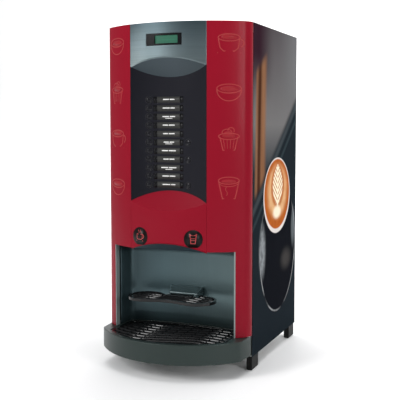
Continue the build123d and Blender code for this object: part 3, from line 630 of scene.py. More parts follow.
def circuit_finish():
    """Green circuit board with paler tracks."""
    material, net, shader = principled("circuit_board_green", 0.0, 0.35, coat=0.3)
    place = net.place()
    tracks = net.add("ShaderNodeTexBrick", offset=0.5)
    net.feed(tracks.inputs["Vector"], net.stretch(place, (90.0, 90.0, 90.0)))
    tracks.inputs["Color1"].default_value = (0.012, 0.09, 0.035, 1)
    tracks.inputs["Color2"].default_value = (0.016, 0.12, 0.05, 1)
    tracks.inputs["Mortar"].default_value = (0.07, 0.22, 0.10, 1)
    tracks.inputs["Mortar Size"].default_value = 0.04
    net.feed(shader.inputs["Base Color"], tracks.outputs["Color"])
    net.feed(shader.inputs["Roughness"], net.plus(net.times(net.noise(place, 60.0), 0.2), 0.3))
    bump(net, shader, tracks.outputs["Fac"], 0.0001, 0.3)
    return material


def side_backdrop(net, y, z):
    """Dark blurred shapes: a grey haze above, an upright wooden bar and a slanting ledge below."""
    def above(height, at_y, climb):
        """z less a line that climbs by so much for each millimetre of y."""
        return net.less(z, net.plus(height, net.times(net.less(y, at_y), climb)))

    shade = net.ramp(net.over(z, 865.0), [
        (0.0, rgb(0.006, 0.008, 0.010)),
        (0.35, rgb(0.010, 0.015, 0.02)),
        (0.55, rgb(0.022, 0.028, 0.034)),
        (0.7, rgb(0.16, 0.155, 0.155)),
        (1.0, rgb(0.085, 0.075, 0.08)),
    ])
    haze = net.times(net.soft(y, 180, 420), net.soft(z, 560, 800))
    shade = net.mix(net.times(haze, 0.6), shade, rgb(0.19, 0.195, 0.20))
    plum = net.times(net.soft(y, 190, 40), net.soft(z, 640, 800))
    shade = net.mix(plum, shade, rgb(0.03, 0.012, 0.02))

    along_bar = net.less(y, net.plus(14, net.times(net.less(z, 430), 0.03)))
    bar = net.times(net.soft(along_bar, -8, 10), net.soft(along_bar, 98, 66))
    bar = net.times(bar, net.times(net.soft(above(735, 20, 0.55), 22, -12), net.soft(z, 395, 440)))
    grain = net.noise(net.stretch(net.place(), (1.0, 40.0, 5.0)), 1.0, 3.0)
    wood = net.mix(grain, rgb(0.14, 0.055, 0.025), rgb(0.33, 0.17, 0.09))
    wood = net.mix(net.box(along_bar, 18, 44, 10), wood, rgb(0.06, 0.022, 0.012))
    shade = net.mix(bar, shade, wood)

    below_ledge = net.soft(above(470, 100, 0.72), 16, -18)
    shade = net.mix(below_ledge, shade, rgb(0.012, 0.017, 0.022))
    ledge = net.box(above(470, 100, 0.72), -34, -12, 9)
    shade = net.mix(net.times(ledge, 0.35), shade, rgb(0.10, 0.12, 0.13))
    edge = net.box(above(405, 100, 0.72), -7, 7, 5)
    return net.mix(net.times(edge, 0.3), shade, rgb(0.06, 0.09, 0.10))


def side_vessel(net, y, z, shade):
    """A dark round cup with a broken glint along its rim and dull patches of light."""
    middle, radius, rim = (226, 262), (168, 186), 4
    shade = net.mix(net.disc(y, z, middle, radius, 0.03), shade, rgb(0.006, 0.007, 0.010))
    inside = net.disc(y, z, middle, (radius[0] - rim, radius[1] - rim), 0.012)
    ring = net.less(net.disc(y, z, middle, radius, 0.012), inside, clamp=True)
    glint = net.times(ring, net.soft(z, 400, 330))
    glint = net.times(glint, net.soft(net.noise(net.place(), 9.0, 4.0), 0.38, 0.62))
    shade = net.mix(net.times(glint, 0.8), shade, rgb(0.45, 0.46, 0.47))
    light = net.times(net.disc(y, z, (80, 265), (24, 62), 0.5), net.noise(net.place(), 60.0))
    shade = net.mix(light, shade, rgb(0.42, 0.45, 0.47))
    light = net.disc(y, z, (372, 300), (18, 50), 0.5)
    shade = net.mix(net.times(light, 0.4), shade, rgb(0.26, 0.29, 0.31))
    light = net.disc(y, z, (300, 215), (42, 26), 0.7)
    return net.mix(net.times(light, 0.35), shade, rgb(0.12, 0.11, 0.10))


def side_coffee(net, y, z, shade):
    """The drink seen from above: a pale rim, crema, a ring of foam and a veined leaf."""
    foam_noise = net.noise(net.place(), 34.0, 5.0, 0.6)
    crema = net.mix(foam_noise, rgb(0.27, 0.055, 0.010), rgb(0.56, 0.155, 0.03))
    foam = net.mix(foam_noise, rgb(0.62, 0.30, 0.11), rgb(0.85, 0.62, 0.36))
    shade = net.mix(net.disc(y, z, (212, 407), (124, 106), 0.012), shade, rgb(0.68, 0.63, 0.60))
    shade = net.mix(net.disc(y, z, (212, 411), (117, 98), 0.02), shade, crema)
    shade = net.mix(net.times(net.disc(y, z, (214, 418), (88, 72), 0.22), 0.8), shade, foam)
    shade = net.mix(net.times(net.disc(y, z, (216, 432), (62, 58), 0.12), 0.85), shade, crema)

    leaf_y, leaf_z, leaf_half, leaf_width = 216, 434, 62, 47
    across = net.math("ABSOLUTE", net.less(y, leaf_y))
    up = net.less(z, leaf_z)
    bend = net.over(up, leaf_half)
    width = net.times(net.less(1, net.times(bend, bend)), leaf_width)
    leaf = net.times(net.soft(net.less(across, width), 2, -3), net.box(up, -60, 60, 2))
    shade = net.mix(leaf, shade, rgb(0.90, 0.78, 0.58))
    folds = net.math("SINE", net.times(net.less(up, net.times(across, 0.8)), 0.40))
    veins = net.times(net.times(net.soft(folds, 0.2, 0.75), net.soft(across, 2, 5)), leaf)
    shade = net.mix(net.times(veins, 0.9), shade, rgb(0.42, 0.12, 0.03))
    stem = net.disc(y, z, (210, 360), (34, 17), 0.4)
    return net.mix(stem, shade, rgb(0.88, 0.76, 0.58))


def side_print_finish():
    """Printed side film: a cup of coffee from above on dark blurred shapes."""
    material, net, shader = principled("printed_side_film", 0.0, 0.42, ior=1.01)
    _, depth, height = net.split(net.place())
    y = net.times(net.less(depth, SEAM_PLANE_Y), 1000.0)
    z = net.times(net.less(height, FOOT), 1000.0)
    shade = side_backdrop(net, y, z)
    shade = side_vessel(net, y, z, shade)
    shade = side_coffee(net, y, z, shade)
    handled(net, shader, shade, 0.42, 0.01, 1800.0, 0.06, 0.00001, 0.1)
    return material


red = red_cover_finish()
red_line = moulded("red_print_line", RED_LINE, 0.34, coat=0.03, tone=0.02, ior=1.16)
red_fill = moulded("red_print_fill", RED_FILL, 0.34, coat=0.03, tone=0.02, ior=1.16)
fascia_steel = fascia_finish()
panel_black = panel_finish()
lens = lens_finish()
liner_slate = liner_finish()
side_print = side_print_finish()
lcd = lcd_finish()
circuit = circuit_finish()
cabinet_black = moulded("black_cabinet_paint", (0.010, 0.010, 0.012), 0.36, tone=0.1, grain=1200.0,
                         dust=0.06, ior=1.35)
tray_slate = moulded("tray_slate_plastic", (0.026, 0.038, 0.035), 0.36, metallic=0.25,
                      grain=1300.0, ior=1.35)
hood_slate = moulded("hood_slate_plastic", (0.03, 0.047, 0.058), 0.35, metallic=0.3, grain=1300.0, ior=1.3)
bracket_slate = moulded("bracket_slate_plastic", (0.06, 0.09, 0.095), 0.22, metallic=0.4, coat=0.3,
                         grain=1300.0)
grille_black = moulded("grille_gloss_black", (0.0055, 0.0055, 0.006), 0.13, tone=0.1, ior=1.4)
feet_black = moulded("feet_black_rubber", (0.009, 0.009, 0.009), 0.6, tone=0.2, grain=500.0,
                      depth=0.0001, ior=1.25)
button_black = moulded("button_black_gloss", (0.009, 0.009, 0.012), 0.2, ior=1.3)
print_grey = moulded("button_print_grey", (0.026, 0.026, 0.031), 0.4, ior=1.2)
label_grey = moulded("label_strip_grey", (0.036, 0.036, 0.034), 0.4, tone=0.15, grain=500.0, ior=1.25)
label_white = moulded("label_mark_white", (0.80, 0.80, 0.78), 0.45)
bezel_black = moulded("bezel_black", (0.006, 0.006, 0.007), 0.25, ior=1.22)
badge_black = moulded("badge_black", (0.006, 0.004, 0.004), 0.3, ior=1.25)
badge_red = moulded("badge_red_print", (0.50, 0.05, 0.05), 0.4)
trim_grey = moulded("door_frame_grey", (0.20, 0.235, 0.23), 0.42, grain=900.0)
zinc = brushed("zinc_plated_sheet", (0.52, 0.53, 0.52), 0.38, 0.25)
motor_steel = brushed("motor_can_steel", (0.38, 0.39, 0.40), 0.35, 0.3)
brass = brushed("brass_fittings_metal", (0.66, 0.46, 0.19), 0.3, 0.2)
screw_metal = brushed("screw_chrome", (0.62, 0.62, 0.63), 0.22, 0.12)
milky = moulded("canister_milky_plastic", (0.62, 0.64, 0.62), 0.38, tone=0.06, grain=500.0)
white_plastic = moulded("white_moulded_plastic", (0.66, 0.66, 0.63), 0.42, tone=0.05, grain=600.0)
hose_rubber = moulded("silicone_hose", (0.55, 0.52, 0.46), 0.5, tone=0.08)
boiler_jacket = moulded("boiler_jacket_foil", (0.45, 0.46, 0.47), 0.4, metallic=0.8, tone=0.15,
                         grain=120.0, depth=0.0006)


# ---- door pieces ----------------------------------------------------------------------------
def s_at(x):
    """Run along the door's plan, 0 at the middle and 1 at the side, where it reaches x."""
    low, high = 0.0, 1.0
    for _ in range(40):
        middle = (low + high) / 2
        if door_point(middle)[0] < x:
            low = middle
        else:
            high = middle
    return low


def spread(stops, counts):
    """Numbers from stop to stop, with so many steps between each two."""
    values = [stops[0]]
    for low, high, count in zip(stops, stops[1:], counts):
        values += [low + (high - low) * (k + 1) / count for k in range(count)]
    return values


LOCK_R = 8.4 * MM
LOCK_BORE = (-0.22, SEAM_PLANE_Y - 15 * MM, 538 * MM)


def column_piece(name, side, material):
    """A red cover round one side of the door, cut back beside the niche."""
    runs = spread([s_at(SEAM_X + SEAM_GAP / 2), s_at(NICHE_HALF), 0.992], [16, 20])
    heights = spread([DOOR_LOW_Z, NICHE_TOP_Z, TOP_Z], [6, 16])
    at_niche = runs.index(min(runs, key=lambda s: abs(s - s_at(NICHE_HALF))))

    def at(inset):
        def where(i, j):
            x, y = door_point(side * runs[i], inset)
            return x, y, heights[j]
        return where

    def keep(i, j):
        return not (i < at_niche and heights[j] < NICHE_TOP_Z - 1e-6)

    piece = sheet_piece(name, len(runs) - 1, len(heights) - 1, at(0.0), at(SKIN), "door", material, keep, 0)
    if side < 0:
        cut(piece, *rod(LOCK_R, 0.05, LOCK_BORE, (1, 0, 0)))
    return bevel(piece, 0.0012, 2, 40)


for side, hand in ((-1, "left"), (1, "right")):
    cover = column_piece(hand + "_red_cover", side, red)
    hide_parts(hand + "_column_cover")

CENTRE_HALF = SEAM_X - SEAM_GAP / 2
CENTRE_XS = spread([-CENTRE_HALF, -54 * MM, 46 * MM, CENTRE_HALF], [10, 18, 12])
WINDOW_Z = (844 * MM, 874 * MM)


def fascia_piece():
    """Brushed sheet over the display, with a window, ending in a slanted foot."""
    def at(inset):
        def where(i, j):
            x = CENTRE_XS[i]
            y = door_y(x, inset)
            foot = slant_z(PANEL_TOP_Z, y)
            levels = [foot, (foot + WINDOW_Z[0]) / 2, *WINDOW_Z, (WINDOW_Z[1] + TOP_Z) / 2, TOP_Z]
            return x, y, levels[j]
        return where

    def keep(i, j):
        return not (10 <= i < 28 and j == 2)

    piece = sheet_piece("display_cover", len(CENTRE_XS) - 1, 5, at(0.0), at(SKIN), "door", fascia_steel,
                        keep, 1.2 * MM)
    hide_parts("display_fascia")
    return piece


def facet_piece(name, edge_z, rise, front_inset, thick, material, count=10):
    """A sloping facet from just behind the door's face back to the hollow panel."""
    lift = thick / cos(SLANT) * rise

    def at(extra):
        def where(i, j):
            x = CENTRE_XS[i]
            near, far = door_y(x, front_inset), panel_y(x) + SKIN
            y = near + (far - near) * j / count
            return x, y, slant_z(edge_z, y, rise) + extra
        return where

    return sheet_piece(name, len(CENTRE_XS) - 1, count, at(0.0), at(lift), "door", material, None, 0.0004)


def centre_cover_piece():
    """Red front between niche and panel, turning over at the top into a sloping sill."""
    def at(inset):
        def where(i, j):
            x = CENTRE_XS[i]
            front = door_y(x, inset)
            foot = slant_z(NICHE_TOP_Z, front)
            top = slant_z(PANEL_LOW_Z, front, -1) - inset / cos(SLANT)
            if j <= 8:
                return x, front, foot + (top - foot) * j / 8
            y = front + (panel_y(x) + SKIN - front) * (j - 8) / 6
            return x, y, slant_z(PANEL_LOW_Z, y, -1) - inset / cos(SLANT)
        return where

    piece = sheet_piece("centre_red_cover", len(CENTRE_XS) - 1, 14, at(0.0), at(SKIN), "door", red,
                        None, 1.6 * MM)
    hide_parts("centre_panel")
    return piece


BUTTON_R = 8 * MM
BUTTON_PLAY = 0.4 * MM
BUTTONS = sorted(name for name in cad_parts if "_button_" in name)


def button_spot(name):
    """Middle of a button's face: x, front y and z."""
    low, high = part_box(name)
    return (low.x + high.x) / 2, low.y, (low.z + high.z) / 2


def panel_piece():
    """Hollow panel with a hole for each button."""
    def at(inset):
        def where(i, j):
            x = CENTRE_XS[i]
            y = panel_y(x)
            low, high = slant_z(PANEL_LOW_Z, y, -1), slant_z(PANEL_TOP_Z, y)
            return x, y + inset, low + (high - low) * j / 4
        return where

    piece = sheet_piece("curved_panel", len(CENTRE_XS) - 1, 4, at(0.0), at(SKIN), "door", panel_black,
                        None, 0)
    holes = []
    for name in BUTTONS:
        x, _, z = button_spot(name)
        holes.append(rod(BUTTON_R + BUTTON_PLAY, 0.06, (x, SEAM_Y - 0.01, z), (0, 1, 0)))
    cut(piece, *gather(holes))
    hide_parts("selection_panel")
    return bevel(piece, 0.0003, 2, 40)


def on_panel(x, proud=0.0):
    """Point on the hollow panel at x, so far proud of it, and the way into the panel."""
    inward = Vector((x / PANEL_RADIUS, sqrt(1 - (x / PANEL_RADIUS) ** 2), 0))
    return Vector((x, panel_y(x), 0)) - inward * proud, inward


def button_piece(name):
    """A round button cap with a pressed ring in its face."""
    x, _, z = button_spot(name)
    start, inward = on_panel(x, 1.2 * MM)
    start.z = z
    profile = [(0, 0.0006), (0.0052, 0.0004), (0.0056, 0.0007), (0.0060, 0.0004), (BUTTON_R - 0.0008, 0.0),
               (BUTTON_R - 0.0003, 0.0002), (BUTTON_R, 0.0007), (BUTTON_R, 0.0020), (0.005, 0.0020),
               (0.005, 0.007), (0, 0.007)]
    verts, faces = turned(profile, start, inward, 48)
    piece = tidy_mesh(new_object(name + "_cap", verts, faces, name, button_black))
    crisp(piece, 50)
    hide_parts(name)
    return piece


fascia_piece()
lens_piece = facet_piece("sloping_lens", PANEL_TOP_Z, 1, SKIN + 0.2 * MM, 2.6 * MM, lens)
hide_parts("upper_lens")
centre_cover_piece()
panel_piece()
for name in BUTTONS:
    button_piece(name)


# ---- prints and labels on the door ------------------------------------------------------
def decal(name, quads, surface, body, material, lift=0.08 * MM, thick=0.12 * MM):
    """Thin print on a curved face. quads hold (x, z) corners and surface(x) gives y."""
    verts, faces = [], []
    for quad in quads:
        base = len(verts)
        verts += [(x, surface(x) - lift, z) for x, z in quad]
        faces.append(tuple(range(base, base + len(quad))))
    piece = tidy_mesh(new_object(name, verts, faces, body, material))
    step = piece.modifiers.new("print_depth", "SOLIDIFY")
    step.thickness = thick
    step.offset = 0
    return piece


def patch(x, z, wide, high, step=4 * MM):
    """A filled rectangle in columns narrow enough for the curve, from its middle."""
    count = max(1, ceil(wide / step))
    low_x, low_z = x - wide / 2, z - high / 2
    return [[(low_x + wide * k / count, low_z), (low_x + wide * (k + 1) / count, low_z),
             (low_x + wide * (k + 1) / count, low_z + high), (low_x + wide * k / count, low_z + high)]
            for k in range(count)]


def stroke(points, width, closed=False):
    """A line of even width as one quad for each step between points, with mitred corners."""
    count = len(points)
    sides = []
    for k, (x, z) in enumerate(points):
        before = points[k - 1] if k or closed else points[k]
        after = points[(k + 1) % count] if k < count - 1 or closed else points[k]
        first = Vector((x - before[0], z - before[1]))
        second = Vector((after[0] - x, after[1] - z))
        first = first.normalized() if first.length > 1e-9 else second.normalized()
        second = second.normalized() if second.length > 1e-9 else first
        way = (first + second).normalized() if (first + second).length > 1e-6 else first
        reach = width / 2 / max(0.4, way.dot(first))
        sides.append(((x - way.y * reach, z + way.x * reach), (x + way.y * reach, z - way.x * reach)))
    steps = range(count if closed else count - 1)
    return [[sides[k][0], sides[(k + 1) % count][0], sides[(k + 1) % count][1], sides[k][1]] for k in steps]


def curve(centre, radius, start, end, steps=24):
    """Points along an elliptic arc, angles in degrees from +X towards +Z."""
    points = []
    for k in range(steps + 1):
        angle = radians(start + (end - start) * k / steps)
        points.append((centre[0] + radius[0] * cos(angle), centre[1] + radius[1] * sin(angle)))
    return points


def rounded(left, right, low, high, radius, steps=5):
    """Outline of a rectangle with round lower corners and square upper ones."""
    points = [(left, high), (left, low + radius)]
    points += curve((left + radius, low + radius), (radius, radius), 180, 270, steps)[1:]
    points += curve((right - radius, low + radius), (radius, radius), 270, 360, steps)
    return [*points, (right, high)]


def steam(x, z, high, sway):
    """A wavy upright line."""
    return [(x + sway * sin(2 * pi * k / 12), z + high * k / 12) for k in range(13)]


def fill(x, low, high, step=2 * MM):
    """Area between low(t) and high(t) for t from -1 to 1 across the span x."""
    count = max(2, ceil((x[1] - x[0]) / step))
    quads = []
    for k in range(count):
        a, b = -1 + 2 * k / count, -1 + 2 * (k + 1) / count
        left, right = (x[0] + (x[1] - x[0]) * (t + 1) / 2 for t in (a, b))
        quads.append([(left, low(a)), (right, low(b)), (right, high(b)), (left, high(a))])
    return quads


class Drawing:
    """Lines and filled areas drawn in millimetres about a middle, kept as quads in metres."""

    def __init__(self, x, z):
        self.x, self.z = x, z
        self.lines, self.areas = [], []

    def line(self, points, width, closed=False):
        placed = [(self.x + across * MM, self.z + up * MM) for across, up in points]
        self.lines += stroke(placed, width * MM, closed)

    def arc(self, centre, radius, start, end, steps, width):
        self.line(curve(centre, radius, start, end, steps), width)

    def rim(self, up, radius, steps=36):
        """The open mouth of a cup."""
        self.line(curve((0, up), radius, 0, 360, steps)[:-1], 2.4, True)

    def pool(self, half, up, low, high):
        """A filled area between two bows, sagging by low and rising by high."""
        def bow(rise):
            return lambda t: self.z + (up + rise * sqrt(max(1 - t * t, 0))) * MM

        self.areas += fill((self.x - half * MM, self.x + half * MM), bow(-low), bow(high))


def bowl(drawing):
    """A wide bowl with a ripple on the drink."""
    drawing.arc((0, 6), (27, 28), 180, 360, 30, 2.6)
    drawing.rim(9, (27, 11), 40)
    drawing.arc((0, 3), (20, 6), 190, 350, 20, 1.6)
    drawing.pool(20, 8, 7, 7)


def foam(drawing):
    """A big cup with a handle, full of foam."""
    drawing.line([(-24, 12), (-20, -14), (-12, -22), (12, -22), (20, -14), (24, 12)], 2.6)
    drawing.rim(12, (24, 9))
    drawing.arc((25, -2), (7, 9), -80, 90, 12, 2.6)
    drawing.line([(-26, -26), (26, -26)], 2.0)
    drawing.pool(18, 12, 5, 10)


def cream(drawing):
    """A ribbed glass under a swirl of cream."""
    drawing.line([(-20, 6), (-13, -28), (13, -28), (20, 6)], 2.6)
    drawing.rim(7, (23, 8))
    drawing.arc((-4, 16), (11, 9), 10, 200, 18, 2.2)
    drawing.arc((5, 22), (7, 7), -30, 190, 16, 2.2)
    drawing.pool(15, 7, 4, 13)
    for across in (-9, -3, 3, 9):
        drawing.line([(across * 1.3, -2), (across, -24)], 1.4)


def tumbler(drawing):
    """A tall tumbler with a wavy streak."""
    drawing.line([(-23, 18), (-14, -28), (14, -28), (23, 18)], 2.6)
    drawing.rim(18, (23, 9))
    drawing.arc((0, 10), (19, 7), 180, 360, 20, 1.8)
    drawing.pool(17, 16, 5, 5)
    drawing.line(steam(-5, -20, 22, 2), 1.5)


COLUMN_MIDDLE = 158.5 * MM
MARKS = {
    -1: ((813, bowl), (690, cream), (570, foam), (440, bowl)),
    1: ((811, foam), (687, bowl), (569, cream), (446, tumbler)),
}
for side, hand in ((-1, "left"), (1, "right")):
    lines, areas = [], []
    for height, drink in MARKS[side]:
        drawing = Drawing(side * COLUMN_MIDDLE, FOOT + height * MM)
        drink(drawing)
        lines += drawing.lines
        areas += drawing.areas
    marks = decal(hand + "_column_print", lines, door_y, "door", red_line, 0.12 * MM)
    filled = decal(hand + "_column_fill", areas, door_y, "door", red_fill, 0.04 * MM)


LABEL_X = -8.3 * MM
LABEL_WIDE, LABEL_HIGH = 64.6 * MM, 15.6 * MM
TAB_WIDE = 9 * MM
WORD_HIGH, WORD_GAP = 2.9 * MM, 2 * MM
strips, tabs, dashes, ledges = [], [], [], []
for row in range(ROWS):
    z = ROW_TOP_Z - row * ROW_PITCH
    strips += patch(LABEL_X, z, LABEL_WIDE, LABEL_HIGH)
    ledges += patch(LABEL_X, z - 9.4 * MM, LABEL_WIDE, 0.7 * MM)
    for x in (-45.6 * MM, 29 * MM):
        tabs += patch(x, z, TAB_WIDE, LABEL_HIGH)
    first, second = random.uniform(14, 22) * MM, random.uniform(12, 22) * MM
    gap_x = LABEL_X + (first - second) / 2
    dashes += patch(gap_x - (WORD_GAP + first) / 2, z + 0.6 * MM, first, WORD_HIGH)
    dashes += patch(gap_x + (WORD_GAP + second) / 2, z + 0.6 * MM, second, WORD_HIGH)
    if row % 3 == 2:
        dashes += patch(LABEL_X, z - 3.8 * MM, 20 * MM, 1.6 * MM)
strip_piece = decal("drink_labels", strips, panel_y, "door", label_grey)
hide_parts("label_strips")
tab_piece = decal("label_end_tabs", tabs, panel_y, "door", bezel_black, 0.3 * MM, 0.5 * MM)
dash_piece = decal("label_marks", dashes, panel_y, "door", label_white, 0.2 * MM)
ledge_piece = decal("label_lines", ledges, panel_y, "door", print_grey)
RING_R = 9.4 * MM
rings = []
for name in BUTTONS:
    x, _, z = button_spot(name)
    rings += stroke(curve((x, z), (RING_R, RING_R), 0, 360, 40)[:-1], 0.9 * MM, True)
ring_piece = decal("button_rings", rings, panel_y, "door", print_grey)


def badge_disc(x, z, radius, floor_z):
    """A disc in narrow columns, cut off level at floor_z."""
    quads, count = [], 24
    for k in range(count):
        a, b = -radius + 2 * radius * k / count, -radius + 2 * radius * (k + 1) / count
        ends = []
        for step in (a, b):
            half = sqrt(max(radius**2 - step**2, 0))
            ends.append((x + step, max(z - half, floor_z), z + half))
        (left, left_low, left_high), (right, right_low, right_high) = ends
        quads.append([(left, left_low), (right, right_low), (right, right_high), (left, left_high)])
    return quads


def filled_cup(drawing):
    """A cup with a handle on a saucer, under two wisps of steam."""
    drawing.line(rounded(-10, 7, -9, 5, 5), 1.6, True)
    drawing.arc((7, -1), (5, 5), -80, 80, 10, 1.6)
    drawing.line([(-13, -12.5), (10, -12.5)], 1.6)
    for across in (-4, 2):
        drawing.line(steam(across, 8, 8, 1.3), 1.3)


def paper_cup(drawing):
    """A tapered cup with a lid and two bands."""
    drawing.line([(-8, 9), (-5.5, -12), (5.5, -12), (8, 9)], 1.6, True)
    drawing.line([(-10, 11.5), (10, 11.5)], 1.8)
    drawing.line([(-6, 1), (6, 1)], 1.2)
    drawing.line([(-5.4, -4), (5.4, -4)], 1.2)


BADGES = ((-76 * MM, filled_cup), (75 * MM, paper_cup))
BADGE_Z = FOOT + 314 * MM
BADGE_R = 24 * MM
badge_quads, mark_quads = [], []
for x, draw in BADGES:
    floor_z = slant_z(NICHE_TOP_Z, door_y(x)) + 0.4 * MM
    badge_quads += badge_disc(x, BADGE_Z, BADGE_R, floor_z)
    drawing = Drawing(x, BADGE_Z + 1 * MM)
    draw(drawing)
    mark_quads += drawing.lines
badges = decal("round_badges", badge_quads, door_y, "door", badge_black, 0.3 * MM, 0.5 * MM)
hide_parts("niche_badges")
badge_print = decal("badge_marks", mark_quads, door_y, "door", badge_red, 0.6 * MM)

SCREEN_LOW = (-28.8 * MM, SEAM_PLANE_Y - 90.5 * MM, 848.7 * MM)
SCREEN_HIGH = (34.8 * MM, SEAM_PLANE_Y - 88.7 * MM, 869.3 * MM)
screen = bevel(new_object("display_glass", *box_mesh(SCREEN_LOW, SCREEN_HIGH), "door", lcd), 0.3 * MM)


# ---- niche, cup shelf and tray -------------------------------------------------------------
def local(x, y):
    """Plan point from millimetres, with y measured from the door seam."""
    return x * MM, SEAM_PLANE_Y + y * MM


def arc3(a, b, c, steps):
    """Plan points on the arc from a through b to c, a left out."""
    (ax, ay), (bx, by), (cx, cy) = a, b, c
    d = 2 * (ax * (by - cy) + bx * (cy - ay) + cx * (ay - by))
    aa, bb, cc = ax**2 + ay**2, bx**2 + by**2, cx**2 + cy**2
    ox = (aa * (by - cy) + bb * (cy - ay) + cc * (ay - by)) / d
    oy = (aa * (cx - bx) + bb * (ax - cx) + cc * (bx - ax)) / d
    start, middle, end = (atan2(y - oy, x - ox) for x, y in (a, b, c))
    turn = (end - start) % (2 * pi)
    if (middle - start) % (2 * pi) > turn:
        turn -= 2 * pi
    radius = hypot(ax - ox, ay - oy)
    points = []
    for k in range(1, steps + 1):
        angle = start + turn * k / steps
        points.append((ox + radius * cos(angle), oy + radius * sin(angle)))
    return points


# Plan sizes of the niche, tray and grille, in millimetres, with y measured from the seam.
NICHE_SIDE, NICHE_BACK = 168.5, 55.5
WALL = 1.5
TRAY_HALF, TRAY_EAR = 198, 203
TRAY_BOW, TRAY_FRONT = 100, 168
GRILLE_HALF = 165
GRILLE_BEHIND = 14


def liner_path(inset, front_y=-24.0):
    """The niche wall in plan, in millimetres, from its right front edge round to its left."""
    x, back = NICHE_SIDE - inset, NICHE_BACK - inset
    side_y = back - 36
    path = [(x, front_y + (side_y - front_y) * k / 4) for k in range(5)]
    path += arc3(path[-1], (x - 5.5, side_y + 13.5), (x - 20, side_y + 20), 10)
    path += arc3(path[-1], (0, back), (-x + 20, side_y + 20), 36)
    path += arc3(path[-1], (-x + 5.5, side_y + 13.5), (-x, side_y), 10)
    return path + [(-x, side_y + (front_y - side_y) * (k + 1) / 4) for k in range(4)]


def liner_pieces():
    """Sheet wall of the niche and its ceiling, with three holes for the spouts."""
    inner, outer = liner_path(WALL), liner_path(0.0)
    heights = spread([FOOT + 58 * MM, NICHE_TOP_Z - WALL * MM], [8])

    def face(path):
        return lambda i, j: (*local(*path[i]), heights[j])

    wall = sheet_piece("niche_wall", len(inner) - 1, 8, face(inner), face(outer), "cabinet", liner_slate,
                       None, 0)
    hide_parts("niche_liner")
    plan = [local(*point) for point in outer]
    spout_r, spout_y = 8.5, 5
    holes = [[local(*point) for point in curve((x, spout_y), (spout_r, spout_r), 0, 360, 32)[:-1]]
             for x in (-45, 0, 45)]
    roof = prism("niche_ceiling", plan, NICHE_TOP_Z - WALL * MM, NICHE_TOP_Z, "cabinet", liner_slate, holes)


def front_arc(x, inset):
    """Y in millimetres of the tray's front curve, drawn in by inset."""
    side, rise = TRAY_HALF - inset, TRAY_BOW - inset
    radius = (side**2 + rise**2) / (2 * rise)
    return -TRAY_FRONT + inset + radius - sqrt(radius**2 - x**2)


def grille_outline(inset):
    """The grille in plan, in millimetres, counter-clockwise from its left front corner."""
    half = GRILLE_HALF - inset
    front = [(x, front_arc(x, GRILLE_BEHIND + inset)) for x in spread([-half, half], [48])]
    back = [(max(-half, min(half, x)), y) for x, y in liner_path(3.0 + inset, 0.0)]
    return front + back


def tray_outline():
    """The drip tray in plan, in millimetres."""
    front = [(x, front_arc(x, 0)) for x in spread([-TRAY_HALF, TRAY_HALF], [64])]
    return [(-TRAY_EAR, 0.0), *front, (TRAY_EAR, 0.0), *liner_path(-3.0, 0.0)]


def in_metres(outline):
    """A plan outline in metres, without doubled points."""
    kept = []
    for point in outline:
        if not kept or hypot(point[0] - kept[-1][0], point[1] - kept[-1][1]) > 0.05:
            kept.append(point)
    return [local(*point) for point in kept]


def tray_piece():
    """Drip tray with a bowed front, a ledge for the grille and a basin."""
    outer = [local(*point) for point in tray_outline()]
    piece = prism("curved_drip_tray", outer, TRAY_LOW_Z, TRAY_TOP_Z, "drip_tray", tray_slate)
    cut(piece, *raised(in_metres(grille_outline(-0.6)), TRAY_TOP_Z - 6 * MM, TRAY_TOP_Z + 9 * MM))
    cut(piece, *raised(in_metres(grille_outline(5.0)), TRAY_LOW_Z + 3 * MM, TRAY_TOP_Z + 8 * MM))
    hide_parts("drip_tray")
    return bevel(piece, 1.6 * MM, 3, 40)


def span_at(outline, x):
    """Lowest and highest y of a plan outline at x, or None."""
    found = []
    for k, (ax, ay) in enumerate(outline):
        bx, by = outline[(k + 1) % len(outline)]
        if min(ax, bx) <= x <= max(ax, bx) and abs(ax - bx) > 1e-9:
            found.append(ay + (by - ay) * (x - ax) / (bx - ax))
    return (min(found), max(found)) if len(found) > 1 else None


def ribbon(points, width, low_z, high_z):
    """A bar with a rounded top along plan points in millimetres."""
    section = ((-0.5, 0.0), (-0.44, 0.5), (-0.22, 0.87), (0.0, 1.0), (0.22, 0.87), (0.44, 0.5), (0.5, 0.0))
    verts, faces = [], []
    for k, (x, y) in enumerate(points):
        before, after = points[max(k - 1, 0)], points[min(k + 1, len(points) - 1)]
        way = Vector((after[0] - before[0], after[1] - before[1])).normalized()
        for across, up in section:
            out = across * width
            px, py = local(x - way.y * out, y + way.x * out)
            verts.append((px, py, low_z + (high_z - low_z) * up))
    ring = len(section)
    for k in range(len(points) - 1):
        for n in range(ring):
            a, b = k * ring + n, k * ring + (n + 1) % ring
            faces.append((a, b, b + ring, a + ring))
    last = (len(points) - 1) * ring
    faces += [tuple(range(ring))[::-1], tuple(range(last, last + ring))]
    return verts, faces


def slats(outline, first_y, pitch, count, width, sway, wave, phase, low_z, high_z):
    """Wavy bars across a plan outline, each cut off where it meets the rim."""
    low_x, high_x = min(x for x, _ in outline), max(x for x, _ in outline)
    made = []
    for number in range(count):
        run = []
        steps = int((high_x - low_x) / 4)
        for k in range(steps + 1):
            x = low_x + 0.01 + (high_x - low_x - 0.02) * k / steps
            y = first_y + pitch * number + sway * sin(2 * pi * (x - phase) / wave)
            span = span_at(outline, x)
            if span and span[0] - 1 < y < span[1] + 1:
                run.append((x, y))
            elif run:
                if len(run) > 2:
                    made.append(ribbon(run, width, low_z, high_z))
                run = []
        if len(run) > 2:
            made.append(ribbon(run, width, low_z, high_z))
    return made


